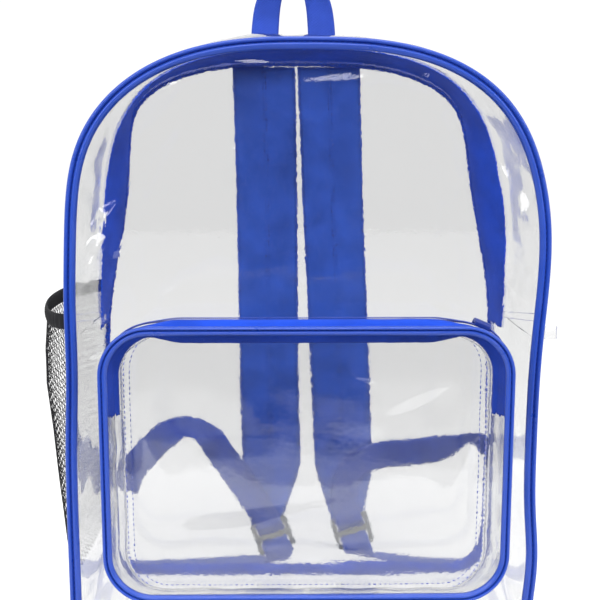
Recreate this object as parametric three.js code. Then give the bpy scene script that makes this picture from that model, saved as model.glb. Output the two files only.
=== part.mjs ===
// A clear vinyl backpack with blue piping, standing on its bottom.
// Millimetres. +X is to the right seen from the front, -Y is the front, +Z is up.
// The origin is the middle of the bottom, on the surface that the bag stands on.
import * as THREE from "three";

// Main bag
const BAG_WIDTH = 332; // over the front piping
const BAG_HEIGHT = 440; // floor to the top of the piping
const BAG_DEPTH = 148; // front face of the front piping to rear face of the back binding
const ARCH_RISE = 150; // height of the rounded top
const ARCH_POWER = 2.6; // 2 is an ellipse, more is squarer
const BOTTOM_CORNER = 34; // radius of the lower corners
const PIPING_WIDTH = 8;
const PIPING_DEPTH = 7;
const BINDING_WIDTH = 10;
const BINDING_DEPTH = 6;
const VINYL = 1; // wall of the clear sheet
const GAP = 0.3; // left between pieces that touch
const FRONT_CROWN = 6; // how far the front panel bulges
const BACK_CROWN = 4;
const CROWN_POWER = 2.5; // more is flatter in the middle and steeper at the edge
const GUSSET_INSET = 4; // side wall's middle, in from the outline
const TOP_SWELL = 14; // how far the top wall rises between its two seams
const SWELL_POWER = 0.8; // 1 is a sine arch, less is fuller
const JUNCTION_HEIGHT = 236; // where the zipped upper wall meets the lower wall

// Main zip, an inverted U in the side wall, near the back
const ZIP_FROM_BACK = 26; // zip's middle to the binding's rear face
const ZIP_SLOT = 24; // tape that shows between the walls
const ZIP_LAP = 5; // tape under each wall
const ZIP_TAPE = 0.8;
const ZIP_TAIL = 11; // tape ends below the junction
const COIL_WIDTH = 5;
const COIL_HEIGHT = 1.6;
const SLIDER_LENGTH = 11;
const SLIDER_WIDTH = 9;
const SLIDER_HEIGHT = 4.4;
const SLIDER_CHAMFER = 1.4;
const SLIDER_SPACING = 15; // centre to centre of the two that meet at the top
const PULL_LENGTH = 24;
const PULL_WIDTH = 5;
const PULL_THICKNESS = 1.4;
const PULL_ROOT = 3; // its width at the slider
const PULL_HOLE = 2.2;

// Front pocket
const POCKET_WIDTH = 270; // over its piping
const POCKET_HEIGHT = 188;
const POCKET_BOTTOM = 66; // face's lower edge above the floor
const POCKET_DEPTH = 46; // front panel's seam line to the pocket's face
const POCKET_OFFSET = 3; // right of the bag's middle
const POCKET_CORNER = 33;
const POCKET_BASE_WIDTH = 259; // where it is sewn to the front panel
const POCKET_BASE_HEIGHT = 200;
const POCKET_BASE_BOTTOM = 51;
const POCKET_CROWN = 4;
const POCKET_PIPING = 6;
const POCKET_SAG = 7; // how far the pocket's top wall hangs in
const POCKET_TAPE = 22; // tape from the piping to the wall behind
const POCKET_LAP = 4;
const POCKET_TAPE_CLEAR = 0.7; // more than GAP, because the wall slopes there
const POCKET_ZIP_END = 196; // height of the zip's two ends
const POCKET_SLIDER_STEP = 1; // outline steps down the right top corner
const LOOP_LENGTH = 28; // cord pull on the pocket's slider
const LOOP_WIDTH = 6;
const LOOP_CORD = 1.4;
const LOOP_STEPS = 4;
const CORD_SIDES = 6;
const LOOP_CLEAR = 0.7; // under the cord, which cuts the corner's facets

// Side mesh pocket on the left
const MESH_BOTTOM = 60;
const MESH_ABOVE_JUNCTION = 7; // top of the net above the side walls' junction
const MESH_BULGE = 30;
const MESH_WALL = 1;
const MESH_CLEAR = 0.6; // between the net's edges and the wall that they are sewn to
const ELASTIC_HEIGHT = 11;
const ELASTIC_WALL = 2;
const ELASTIC_RISE = 8; // the rear end of the top edge sits this much higher
const TAB_LENGTH = 8.5; // folded tab at the right side seam
const TAB_HEIGHT = 9;
const TAB_WALL = 2.4;

// Straps, webbing and handle
const STRAP_WIDTH = 51;
const STRAP_WALL = 2.4;
const STRAP_SEAM = 6; // top of the strap below the top of the bag
const STRAP_TAPER = 93; // height where the strap starts to narrow
const STRAP_STAND = 16; // how far the slack strap bows away from the bag
const STRAP_END_WIDTH = 29;
const WEBBING_WIDTH = 24;
const WEBBING_WALL = 1.6;
const ADJUSTER_WIDTH = 33;
const ADJUSTER_HEIGHT = 28;
const ADJUSTER_BAR = 4;
const ADJUSTER_WALL = 2.4;
const ADJUSTER_CORNER = 2.5;
const SLOT_CORNER = 0.8;
const TAIL_REACH = 130; // adjuster to the webbing's free end, sideways
const TAIL_RISE = 97; // adjuster to the top of the webbing's arch
const TAIL_STAND = 12; // how far the arch stands off the strap's front
const LOWER_STAND = 7; // how far the lower run bows back over the floor
const CORNER_REACH = 18; // webbing's sewn end, in from the bag's side
const HANDLE_SPREAD = 44; // leg to leg
const HANDLE_RISE = 66; // above the top seam
const HANDLE_WIDTH = 22;
const HANDLE_WALL = 1.8;
const HANDLE_OFFSET = -4.5; // left of the bag's middle
const HANDLE_STEPS = 18;

// How the soft walls hang. height and spread are shares of the bag's height, front and back
// are shares of its width: how far the side stands out there, or in where negative.
const DRAPE = [
  { side: 1, height: 0.76, spread: 0.16, front: 0.0, back: -0.05 },
  { side: -1, height: 0.75, spread: 0.16, front: 0.0, back: -0.052 },
  { side: 1, height: 0.96, spread: 0.1, front: 0.0, back: 0.04 },
  { side: -1, height: 0.96, spread: 0.1, front: 0.0, back: 0.05 },
  { side: 1, height: 1.0, spread: 0.2, front: 0.021, back: 0.0 },
  { side: 1, height: 0.66, spread: 0.13, front: 0.014, back: 0.006 },
  { side: 1, height: 0.17, spread: 0.08, front: 0.011, back: 0.0 },
  { side: -1, height: 1.0, spread: 0.15, front: -0.006, back: 0.0 },
  { side: -1, height: 0.72, spread: 0.12, front: -0.0145, back: 0.0 },
  { side: -1, height: 0.5, spread: 0.12, front: -0.009, back: 0.0 },
];
const DRAPE_FROM = 0.62; // share of the depth up to which the side hangs as its front does
const DRAPE_FULL = 0.95; // share of the depth at which the back's drape is reached

// Derived places
const HALF = BAG_WIDTH / 2;
const ARCH_BASE = BAG_HEIGHT - ARCH_RISE;
const FRONT = -BAG_DEPTH / 2;
const BACK = BAG_DEPTH / 2;
const WALL_FRONT = FRONT + PIPING_DEPTH + GAP;
const WALL_BACK = BACK - BINDING_DEPTH - GAP;
const FRONT_PLANE = FRONT + PIPING_DEPTH / 2;
const BACK_PLANE = BACK - BINDING_DEPTH / 2;
const ZIP_CENTRE = BACK - ZIP_FROM_BACK;
const ZIP_FRONT = ZIP_CENTRE - ZIP_SLOT / 2;
const ZIP_BACK = ZIP_CENTRE + ZIP_SLOT / 2;
const TAPE_INSET = GUSSET_INSET + VINYL / 2 + GAP + ZIP_TAPE / 2;
const COIL_INSET = TAPE_INSET - ZIP_TAPE / 2 - GAP - COIL_HEIGHT / 2;
const POCKET_FACE = FRONT_PLANE - POCKET_DEPTH;
const MESH_TOP = JUNCTION_HEIGHT + MESH_ABOVE_JUNCTION;
const STRAP_TOP = BAG_HEIGHT - STRAP_SEAM;

const materials = {
  vinyl: new THREE.MeshStandardMaterial({
    color: 0xf2f4f6, roughness: 0.06, transparent: true, opacity: 0.25,
  }),
  piping: new THREE.MeshStandardMaterial({ color: 0x2444bf, roughness: 0.35 }),
  binding: new THREE.MeshStandardMaterial({ color: 0x2a45b8, roughness: 0.55 }),
  tape: new THREE.MeshStandardMaterial({ color: 0x2340a0, roughness: 0.85 }),
  coil: new THREE.MeshStandardMaterial({ color: 0x2443b0, roughness: 0.4 }),
  slider: new THREE.MeshStandardMaterial({ color: 0x1f3aa0, roughness: 0.4 }),
  strap: new THREE.MeshStandardMaterial({ color: 0x2544a6, roughness: 0.9 }),
  webbing: new THREE.MeshStandardMaterial({ color: 0x2b45b4, roughness: 0.85 }),
  mesh: new THREE.MeshStandardMaterial({ color: 0x17181a, roughness: 0.9 }),
  plastic: new THREE.MeshStandardMaterial({ color: 0x8b8d8a, roughness: 0.4 }),
};

const bag = new THREE.Group();
bag.name = "clear_backpack";

function add(name, material, geometry) {
  const mesh = new THREE.Mesh(geometry, materials[material]);
  mesh.name = name;
  bag.add(mesh);
}

const mix = THREE.MathUtils.lerp;
const smooth = (share) => THREE.MathUtils.smoothstep(share, 0, 1);
const point = (x, y, z) => new THREE.Vector3(x, y, z);

// A closed solid from triangles given as three points each, turned to face out.
function solid(triangles) {
  let volume = 0;
  for (const [a, b, c] of triangles) volume += a.dot(b.clone().cross(c));
  const flat = triangles.flatMap(([a, b, c]) => (volume > 0 ? [a, b, c] : [a, c, b]));
  return new THREE.BufferGeometry().setFromPoints(flat);
}

function quad(triangles, a, b, c, d) {
  triangles.push([a, b, c], [a, c, d]);
}

// A wall of even thickness round a grid of middle points, rows[row][column]. Both of its
// sides are cut along the same diagonals. With ring the columns close on themselves.
function sheet(rows, thickness, ring = false) {
  const last = rows.length - 1;
  const count = rows[0].length;
  const wrap = (i) => (ring ? (i + count) % count : THREE.MathUtils.clamp(i, 0, count - 1));
  const sides = [[], []];
  rows.forEach((row, j) => {
    const outer = [];
    const inner = [];
    row.forEach((middle, i) => {
      const along = row[wrap(i + 1)].clone().sub(row[wrap(i - 1)]);
      const across = rows[Math.min(j + 1, last)][i].clone().sub(rows[Math.max(j - 1, 0)][i]);
      const normal = along.cross(across).setLength(thickness / 2);
      outer.push(middle.clone().add(normal));
      inner.push(middle.clone().sub(normal));
    });
    sides[0].push(outer);
    sides[1].push(inner);
  });
  const [outer, inner] = sides;
  const triangles = [];
  const spans = ring ? count : count - 1;
  for (let i = 0; i < spans; i++) {
    const k = wrap(i + 1);
    for (let j = 0; j < last; j++) {
      quad(triangles, outer[j][i], outer[j][k], outer[j + 1][k], outer[j + 1][i]);
      quad(triangles, inner[j][i], inner[j + 1][i], inner[j + 1][k], inner[j][k]);
    }
    quad(triangles, inner[0][i], inner[0][k], outer[0][k], outer[0][i]);
    quad(triangles, outer[last][i], outer[last][k], inner[last][k], inner[last][i]);
  }
  if (!ring)
    for (let j = 0; j < last; j++) {
      const end = count - 1;
      quad(triangles, outer[j][0], outer[j + 1][0], inner[j + 1][0], inner[j][0]);
      quad(triangles, inner[j][end], inner[j + 1][end], outer[j + 1][end], outer[j][end]);
    }
  return solid(triangles);
}

// A bar through rings of points, each ring one section. With ring its ends meet. Opposite
// sides are cut along the same diagonals, so that a twisted band keeps its thickness.
function bar(sections, ring = false) {
  const triangles = [];
  const count = sections[0].length;
  const spans = ring ? sections.length : sections.length - 1;
  for (let s = 0; s < spans; s++) {
    const here = sections[s];
    const next = sections[(s + 1) % sections.length];
    for (let i = 0; i < count; i++) {
      const k = (i + 1) % count;
      if (i < count / 2) quad(triangles, here[i], here[k], next[k], next[i]);
      else quad(triangles, here[k], next[k], next[i], here[i]);
    }
  }
  if (!ring) {
    const first = sections[0];
    const end = sections[sections.length - 1];
    for (let i = 1; i < count - 1; i++) {
      triangles.push([first[0], first[i + 1], first[i]]);
      triangles.push([end[0], end[i], end[i + 1]]);
    }
  }
  return solid(triangles);
}

// A panel inside a closed outline of [x, z] points. surface gives its middle's y.
const PANEL_RINGS = [1, 0.78, 0.5, 0.22];
function panel(outline, surface, thickness) {
  const centre = outline
    .reduce((sum, p) => sum.add(p), new THREE.Vector2())
    .divideScalar(outline.length);
  const place = (p, side) => point(p.x, surface(p.x, p.y) + (side * thickness) / 2, p.y);
  const rings = PANEL_RINGS.map((share) => outline.map((p) => centre.clone().lerp(p, share)));
  const triangles = [];
  outline.forEach((_, i) => {
    const k = (i + 1) % outline.length;
    for (const side of [-1, 1]) {
      const put = (a, b, c, d) =>
        side < 0 ? quad(triangles, a, b, c, d) : quad(triangles, a, d, c, b);
      for (let r = 0; r + 1 < rings.length; r++) {
        const [out, inn] = [rings[r], rings[r + 1]];
        put(place(out[i], side), place(out[k], side), place(inn[k], side), place(inn[i], side));
      }
      const inn = rings[rings.length - 1];
      const hub = place(centre, side);
      const [a, b] = [place(inn[i], side), place(inn[k], side)];
      triangles.push(side < 0 ? [a, b, hub] : [b, a, hub]);
    }
    const edge = rings[0];
    quad(triangles,
      place(edge[i], 1), place(edge[k], 1), place(edge[k], -1), place(edge[i], -1));
  });
  return solid(triangles);
}

// Adds an outward direction to each point of a closed outline.
function withNormals(points) {
  return points.map((p, i) => {
    const before = points[(i + points.length - 1) % points.length];
    const after = points[(i + 1) % points.length];
    const along = after.clone().sub(before).normalize();
    return { p, out: new THREE.Vector2(along.y, -along.x) };
  });
}

// The right half from the bottom's middle to the top's middle, then the left half back down.
function mirrored(half) {
  const left = half.slice(1, -1).reverse().map((p) => new THREE.Vector2(-p.x, p.y));
  return [...half, ...left];
}

const BOTTOM_STEPS = 2;
const CORNER_STEPS = 4;
const LOWER_STEPS = 5;
const UPPER_STEPS = 2;
const ARCH_STEPS = 12;
function bagOutline() {
  const half = [];
  const straight = HALF - BOTTOM_CORNER;
  for (let i = 0; i < BOTTOM_STEPS; i++)
    half.push(new THREE.Vector2((straight * i) / BOTTOM_STEPS, 0));
  for (let i = 0; i < CORNER_STEPS; i++) {
    const turn = ((Math.PI / 2) * i) / CORNER_STEPS;
    half.push(new THREE.Vector2(
      straight + BOTTOM_CORNER * Math.sin(turn), BOTTOM_CORNER * (1 - Math.cos(turn))));
  }
  for (let i = 0; i < LOWER_STEPS; i++)
    half.push(new THREE.Vector2(HALF, mix(BOTTOM_CORNER, JUNCTION_HEIGHT, i / LOWER_STEPS)));
  for (let i = 0; i < UPPER_STEPS; i++)
    half.push(new THREE.Vector2(HALF, mix(JUNCTION_HEIGHT, ARCH_BASE, i / UPPER_STEPS)));
  for (let i = 0; i <= ARCH_STEPS; i++) {
    const turn = ((Math.PI / 2) * i) / ARCH_STEPS;
    half.push(new THREE.Vector2(
      HALF * Math.max(Math.cos(turn), 0) ** (2 / ARCH_POWER),
      ARCH_BASE + ARCH_RISE * Math.sin(turn) ** (2 / ARCH_POWER)));
  }
  return withNormals(mirrored(half));
}
const OUTLINE = bagOutline();
const RIGHT_JUNCTION = BOTTOM_STEPS + CORNER_STEPS + LOWER_STEPS;
const LEFT_JUNCTION = OUTLINE.length - RIGHT_JUNCTION;

// How far the soft side stands out at a height and depth.
function drape(side, height, y) {
  const depth = smooth(((y - FRONT) / BAG_DEPTH - DRAPE_FROM) / (DRAPE_FULL - DRAPE_FROM));
  return DRAPE.filter((row) => row.side === side).reduce((sum, row) => {
    const away = (height / BAG_HEIGHT - row.height) / row.spread;
    return sum + BAG_WIDTH * mix(row.front, row.back, depth) * Math.exp(-away * away);
  }, 0);
}

// How far the top wall rises above its seams at depth y.
function swell(y) {
  const share = THREE.MathUtils.clamp((y - WALL_FRONT) / (WALL_BACK - WALL_FRONT), 0, 1);
  return TOP_SWELL * Math.max(Math.sin(Math.PI * share), 0) ** SWELL_POWER;
}

// A point of the bag's outline, moved in by inset, hanging and rising as it does at depth y.
function flatPoint(index, y, inset) {
  const { p, out } = OUTLINE[(index + OUTLINE.length) % OUTLINE.length];
  const x = p.x - out.x * inset;
  const z = p.y - out.y * inset;
  const side = Math.sign(p.x);
  return new THREE.Vector2(side ? x + side * drape(side, z, y) : x, z + swell(y) * smooth(out.y));
}

function wallPoint(index, y, inset) {
  const flat = flatPoint(index, y, inset);
  return point(flat.x, y, flat.y);
}

const crown = (x, z) => {
  const across = Math.min(Math.abs(x) / HALF, 1);
  const up = Math.min(Math.abs(z - BAG_HEIGHT / 2) / (BAG_HEIGHT / 2), 1);
  return (1 - across ** CROWN_POWER) * (1 - up ** CROWN_POWER);
};
const frontSurface = (x, z) => FRONT_PLANE - FRONT_CROWN * crown(x, z);
const backSurface = (x, z) => BACK_PLANE + BACK_CROWN * crown(x, z);

// Front and back panels, and the piping and binding round them
function buildPanels() {
  const edge = (y, inset) => OUTLINE.map((_, i) => flatPoint(i, y, inset));
  add("front_panel", "vinyl",
    panel(edge(FRONT_PLANE, PIPING_WIDTH + GAP), frontSurface, VINYL));
  add("back_panel", "vinyl",
    panel(edge(BACK_PLANE, BINDING_WIDTH + GAP), backSurface, VINYL));
}

// Piping section as shares: in from the outer edge, and back from its front face.
const PIPING_SECTION = [
  { across: 0, back: 0.22 }, { across: 0.2, back: 0 }, { across: 0.5, back: 0 },
  { across: 0.62, back: 0.2 }, { across: 1, back: 0.24 }, { across: 1, back: 0.76 },
  { across: 0.62, back: 1 }, { across: 0.2, back: 1 }, { across: 0, back: 0.78 },
];
const BINDING_SECTION = [
  { across: 0, back: 0.16 }, { across: 0.12, back: 0 }, { across: 0.88, back: 0 },
  { across: 1, back: 0.16 }, { across: 1, back: 0.84 }, { across: 0.88, back: 1 },
  { across: 0.12, back: 1 }, { across: 0, back: 0.84 },
];
function buildPiping() {
  const hoop = (section, width, front, depth) =>
    bar(OUTLINE.map((_, i) => section.map(({ across, back }) => {
      const y = front + back * depth;
      return wallPoint(i, y, across * width);
    })), true);
  add("front_piping", "piping", hoop(PIPING_SECTION, PIPING_WIDTH, FRONT, PIPING_DEPTH));
  add("back_binding", "binding",
    hoop(BINDING_SECTION, BINDING_WIDTH, BACK - BINDING_DEPTH, BINDING_DEPTH));
}

// Points of the outline from one index to another, with the two ends moved apart for a gap.
function run(from, to, y, inset, lift) {
  const row = [];
  for (let i = from; i <= to; i++) row.push(wallPoint(i, y, inset));
  row[0].z += lift;
  row[row.length - 1].z += lift;
  return row;
}

// Side walls: the lower U is one piece, the upper arch is in front of and behind the zip.
// The stations are shares of a wall's depth: of the upper one's in front of the zip's tape,
// and of all of the lower one's.
const UPPER_STATIONS = [0, 0.1, 0.38, 0.75, 1];
const LOWER_STATIONS = [0, 0.2, 0.5, 0.72, 0.82, 0.92, 1];
const TAPE_FRONT = ZIP_FRONT - ZIP_LAP;
const TAPE_BACK = ZIP_BACK + ZIP_LAP;
const COIL_EDGES = [ZIP_CENTRE - COIL_WIDTH / 2, ZIP_CENTRE + COIL_WIDTH / 2];
function buildWalls() {
  const halfGap = GAP / 2;
  const frontStations = UPPER_STATIONS.map((share) => mix(WALL_FRONT, TAPE_FRONT, share));
  const upper = (stations) =>
    sheet(stations.map((y) => run(RIGHT_JUNCTION, LEFT_JUNCTION, y, GUSSET_INSET, halfGap)),
      VINYL);
  add("upper_wall_front", "vinyl", upper([...frontStations, ZIP_FRONT]));
  add("upper_wall_back", "vinyl", upper([ZIP_BACK, TAPE_BACK, WALL_BACK]));

  // Between the front and back seams the bottom rests flat on the floor.
  const lowerStations = LOWER_STATIONS.map((share) => mix(WALL_FRONT, WALL_BACK, share));
  const from = LEFT_JUNCTION - OUTLINE.length;
  const rows = lowerStations.map((y, j) => {
    const resting = j > 0 && j < lowerStations.length - 1;
    return run(from, RIGHT_JUNCTION, y, GUSSET_INSET, -halfGap).map((p) => {
      if (resting && p.z < GUSSET_INSET + GAP) p.z = VINYL / 2;
      return p;
    });
  });
  add("lower_wall", "vinyl", sheet(rows, VINYL));
}

// Main zip: tape inside the walls, coil in the slot, two sliders that meet at the top
function buildMainZip() {
  const tapeRow = (y) => {
    const row = run(RIGHT_JUNCTION, LEFT_JUNCTION, y, TAPE_INSET, 0);
    const tail = (end, lower) =>
      end.clone().add(wallPoint(lower, y, TAPE_INSET).sub(end).setLength(ZIP_TAIL));
    return [
      tail(row[0], RIGHT_JUNCTION - 1), ...row, tail(row[row.length - 1], LEFT_JUNCTION + 1),
    ];
  };
  const tapeLines = [TAPE_FRONT, ZIP_FRONT, ...COIL_EDGES, ZIP_BACK, TAPE_BACK];
  add("main_zip_tape", "tape", sheet(tapeLines.map(tapeRow), ZIP_TAPE));

  add("main_zip_coil", "coil",
    sheet(COIL_EDGES.map((y) => run(RIGHT_JUNCTION, LEFT_JUNCTION, y, COIL_INSET, GAP)),
      COIL_HEIGHT));

  // The coil slopes with the swollen top, and its sliders and pulls are seated square on it.
  const [near, far] = COIL_EDGES.map(swell);
  const tilt = Math.atan2(far - near, COIL_WIDTH);
  const stand = COIL_HEIGHT / 2 + GAP;
  const seat = BAG_HEIGHT - COIL_INSET + (near + far) / 2 + stand * Math.cos(tilt);
  const seatDepth = ZIP_CENTRE - stand * Math.sin(tilt);
  for (const [side, name] of [[-1, "left"], [1, "right"]]) {
    const turn = new THREE.Matrix4().makeBasis(
      point(side, 0, 0), point(0, side, 0), point(0, 0, 1));
    const slider = sliderBody(COIL_WIDTH, COIL_HEIGHT);
    slider.applyMatrix4(turn).rotateX(tilt);
    slider.translate((side * SLIDER_SPACING) / 2, seatDepth, seat);
    add(`main_zip_slider_${name}`, "slider", slider);
    const pull = pullTab().applyMatrix4(turn).rotateX(tilt);
    pull.translate(side * (SLIDER_SPACING / 2 + SLIDER_LENGTH / 2 + GAP), seatDepth, seat);
    add(`main_zip_pull_${name}`, "slider", pull);
  }
}

// A slider over a coil: a plate with a lip down each side. Its plate's underside is at z = 0.
function sliderBody(coilWidth, coilHeight) {
  const half = SLIDER_WIDTH / 2;
  const lip = coilWidth / 2 + GAP;
  const drop = coilHeight;
  const top = SLIDER_HEIGHT - drop;
  const section = new THREE.Shape([
    [-half, -drop], [-lip, -drop], [-lip, 0], [lip, 0], [lip, -drop], [half, -drop],
    [half, top - SLIDER_CHAMFER], [half - SLIDER_CHAMFER, top],
    [SLIDER_CHAMFER - half, top], [-half, top - SLIDER_CHAMFER],
  ].map(([x, y]) => new THREE.Vector2(x, y)));
  const body = new THREE.ExtrudeGeometry(section, { depth: SLIDER_LENGTH, bevelEnabled: false });
  body.translate(0, 0, -SLIDER_LENGTH / 2);
  const along = new THREE.Matrix4().makeBasis(point(0, 1, 0), point(0, 0, 1), point(1, 0, 0));
  return body.applyMatrix4(along);
}

// A flat pull tab with a hole at its free end, lying from x = 0 along +X
function pullTab() {
  const half = PULL_WIDTH / 2;
  const shape = new THREE.Shape();
  shape.moveTo(0, -PULL_ROOT / 2);
  shape.lineTo(PULL_LENGTH - half, -half);
  shape.absarc(PULL_LENGTH - half, 0, half, -Math.PI / 2, Math.PI / 2);
  shape.lineTo(0, PULL_ROOT / 2);
  const hole = new THREE.Path();
  hole.absarc(PULL_LENGTH - half, 0, PULL_HOLE / 2, 0, Math.PI * 2, true);
  shape.holes.push(hole);
  return new THREE.ExtrudeGeometry(shape, {
    depth: PULL_THICKNESS, bevelEnabled: false, curveSegments: 4,
  });
}

// Front pocket
const POCKET_SPAN_STEPS = 4;
const POCKET_SIDE_STEPS = 3;
const POCKET_CORNER_STEPS = 4;
function pocketOutline() {
  const half = [];
  const right = POCKET_WIDTH / 2;
  const top = POCKET_BOTTOM + POCKET_HEIGHT;
  const straight = right - POCKET_CORNER;
  const arc = (centreHeight, from) => {
    for (let i = 0; i < POCKET_CORNER_STEPS; i++) {
      const turn = from + ((Math.PI / 2) * i) / POCKET_CORNER_STEPS;
      half.push(new THREE.Vector2(
        straight + POCKET_CORNER * Math.cos(turn), centreHeight + POCKET_CORNER * Math.sin(turn)));
    }
  };
  const lower = POCKET_BOTTOM + POCKET_CORNER;
  const upper = top - POCKET_CORNER;
  for (let i = 0; i < POCKET_SPAN_STEPS; i++)
    half.push(new THREE.Vector2((straight * i) / POCKET_SPAN_STEPS, POCKET_BOTTOM));
  arc(lower, -Math.PI / 2);
  for (let i = 0; i < POCKET_SIDE_STEPS; i++)
    half.push(new THREE.Vector2(right, mix(lower, POCKET_ZIP_END, i / POCKET_SIDE_STEPS)));
  half.push(new THREE.Vector2(right, POCKET_ZIP_END));
  arc(upper, 0);
  for (let i = 0; i <= POCKET_SPAN_STEPS; i++)
    half.push(new THREE.Vector2(straight * (1 - i / POCKET_SPAN_STEPS), top));
  return withNormals(mirrored(half));
}
const POCKET_OUTLINE = pocketOutline();
const POCKET_RIGHT_END = POCKET_SPAN_STEPS + POCKET_CORNER_STEPS + POCKET_SIDE_STEPS;
const POCKET_LEFT_END = POCKET_OUTLINE.length - POCKET_RIGHT_END;
const POCKET_GUSSET_INSET = POCKET_PIPING / 2;

// The pocket's wall from its face (share 0) to the front panel (share 1). out is a share of
// POCKET_SAG: the top wall stands up at the zip, and the whole wall hangs in behind it.
const POCKET_HANG = [
  { share: 0, out: 0 }, { share: 0.22, out: 0.55 }, { share: 0.4, out: -0.1 },
  { share: 0.64, out: -0.9 }, { share: 0.82, out: -0.5 }, { share: 1, out: 0 },
];
const SIDE_HANG = 0.45; // share of the sag at the sides and bottom
function hang(share, up) {
  const next = Math.max(POCKET_HANG.findIndex((row) => row.share >= share), 1);
  const [a, b] = [POCKET_HANG[next - 1], POCKET_HANG[next]];
  const out = mix(a.out, b.out, (share - a.share) / (b.share - a.share));
  const weight = out > 0 ? Math.max(up, 0) : mix(SIDE_HANG, 1, Math.max(up, 0));
  return POCKET_SAG * out * weight;
}

function pocketFlat(index, share, inset) {
  const count = POCKET_OUTLINE.length;
  const { p, out } = POCKET_OUTLINE[(index + count) % count];
  const baseZ = POCKET_BASE_BOTTOM
    + ((p.y - POCKET_BOTTOM) * POCKET_BASE_HEIGHT) / POCKET_HEIGHT;
  const moved = hang(share, out.y) - inset;
  return new THREE.Vector2(
    POCKET_OFFSET + p.x * mix(1, POCKET_BASE_WIDTH / POCKET_WIDTH, share) + out.x * moved,
    mix(p.y, baseZ, share) + out.y * moved);
}

const POCKET_WALL_FRONT = POCKET_FACE + POCKET_PIPING / 2 + GAP;
function pocketPoint(index, share, inset) {
  const flat = pocketFlat(index, share, inset);
  const rear = frontSurface(flat.x, flat.y) - VINYL / 2 - GAP;
  return point(flat.x, mix(POCKET_WALL_FRONT, rear, share), flat.y);
}

const POCKET_MIDDLE = POCKET_BOTTOM + POCKET_HEIGHT / 2;
function pocketSurface(x, z) {
  const across = Math.min(Math.abs((x - POCKET_OFFSET) / (POCKET_WIDTH / 2)), 1);
  const up = Math.min(Math.abs((z - POCKET_MIDDLE) / (POCKET_HEIGHT / 2)), 1);
  return POCKET_FACE - POCKET_CROWN * (1 - across ** CROWN_POWER) * (1 - up ** CROWN_POWER);
}

function pocketRun(from, to, share, inset, lift) {
  const row = [];
  for (let i = from; i <= to; i++) row.push(pocketPoint(i, share, inset));
  row[0].z += lift;
  row[row.length - 1].z += lift;
  return row;
}

const POCKET_ROOM = FRONT_PLANE - POCKET_WALL_FRONT; // wall's length from face to base
const TAPE_SHARE = POCKET_TAPE / POCKET_ROOM;
const COIL_SHARE = POCKET_HANG[1].share; // the coil is on the ridge
const POCKET_TAPE_INSET = POCKET_GUSSET_INSET + VINYL / 2 + POCKET_TAPE_CLEAR + ZIP_TAPE / 2;
const POCKET_COIL_INSET = POCKET_TAPE_INSET - ZIP_TAPE / 2 - POCKET_TAPE_CLEAR - COIL_HEIGHT / 2;
function buildPocket() {
  add("pocket_front", "vinyl", panel(
    POCKET_OUTLINE.map((_, i) => pocketFlat(i, 0, POCKET_PIPING + GAP)), pocketSurface, VINYL));
  const section = PIPING_SECTION.map(({ across, back }) => ({
    inset: across * POCKET_PIPING, y: POCKET_FACE + (back - 0.5) * POCKET_PIPING,
  }));
  add("pocket_piping", "piping", bar(POCKET_OUTLINE.map((_, i) => section.map(({ inset, y }) => {
    const flat = pocketFlat(i, 0, inset);
    return point(flat.x, y, flat.y);
  })), true));

  const halfGap = GAP / 2;
  const from = POCKET_LEFT_END - POCKET_OUTLINE.length;
  const shares = POCKET_HANG.map((row) => row.share);
  add("pocket_wall_lower", "vinyl", sheet(shares.map((share) =>
    pocketRun(from, POCKET_RIGHT_END, share, POCKET_GUSSET_INSET, -halfGap)), VINYL));
  const lap = TAPE_SHARE - POCKET_LAP / POCKET_ROOM;
  const upperShares = [lap, ...shares.filter((share) => share > lap)];
  add("pocket_wall_upper", "vinyl", sheet(upperShares.map((share) =>
    pocketRun(POCKET_RIGHT_END, POCKET_LEFT_END, share, POCKET_GUSSET_INSET, halfGap)), VINYL));

  const tapeShares = [...shares.filter((share) => share < TAPE_SHARE), TAPE_SHARE];
  add("pocket_zip_tape", "tape", sheet(tapeShares.map((share) =>
    pocketRun(POCKET_RIGHT_END, POCKET_LEFT_END, share, POCKET_TAPE_INSET, halfGap)), ZIP_TAPE));
  const coilHalf = COIL_WIDTH / 2 / POCKET_ROOM;
  add("pocket_zip_coil", "coil", sheet([COIL_SHARE - coilHalf, COIL_SHARE, COIL_SHARE + coilHalf]
    .map((share) => pocketRun(POCKET_RIGHT_END, POCKET_LEFT_END, share, POCKET_COIL_INSET, GAP)),
  COIL_HEIGHT));
}

// A point over the pocket's coil, a distance down from the slider, and the way out there
function coilSpot(distance, away) {
  const first = POCKET_RIGHT_END + 1 + POCKET_CORNER_STEPS - POCKET_SLIDER_STEP;
  const inset = POCKET_COIL_INSET - COIL_HEIGHT / 2 - away;
  let left = distance;
  for (let i = first; ; i--) {
    const a = pocketPoint(i, COIL_SHARE, inset);
    const b = pocketPoint(i - 1, COIL_SHARE, inset);
    const length = a.distanceTo(b);
    if (left > length && i > POCKET_RIGHT_END) {
      left -= length;
      continue;
    }
    const outs = [i, i - 1].map((k) => POCKET_OUTLINE[k].out);
    const out = outs[0].clone().lerp(outs[1], left / length).normalize();
    return { at: a.lerp(b, left / length), out: point(out.x, 0, out.y) };
  }
}

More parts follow.
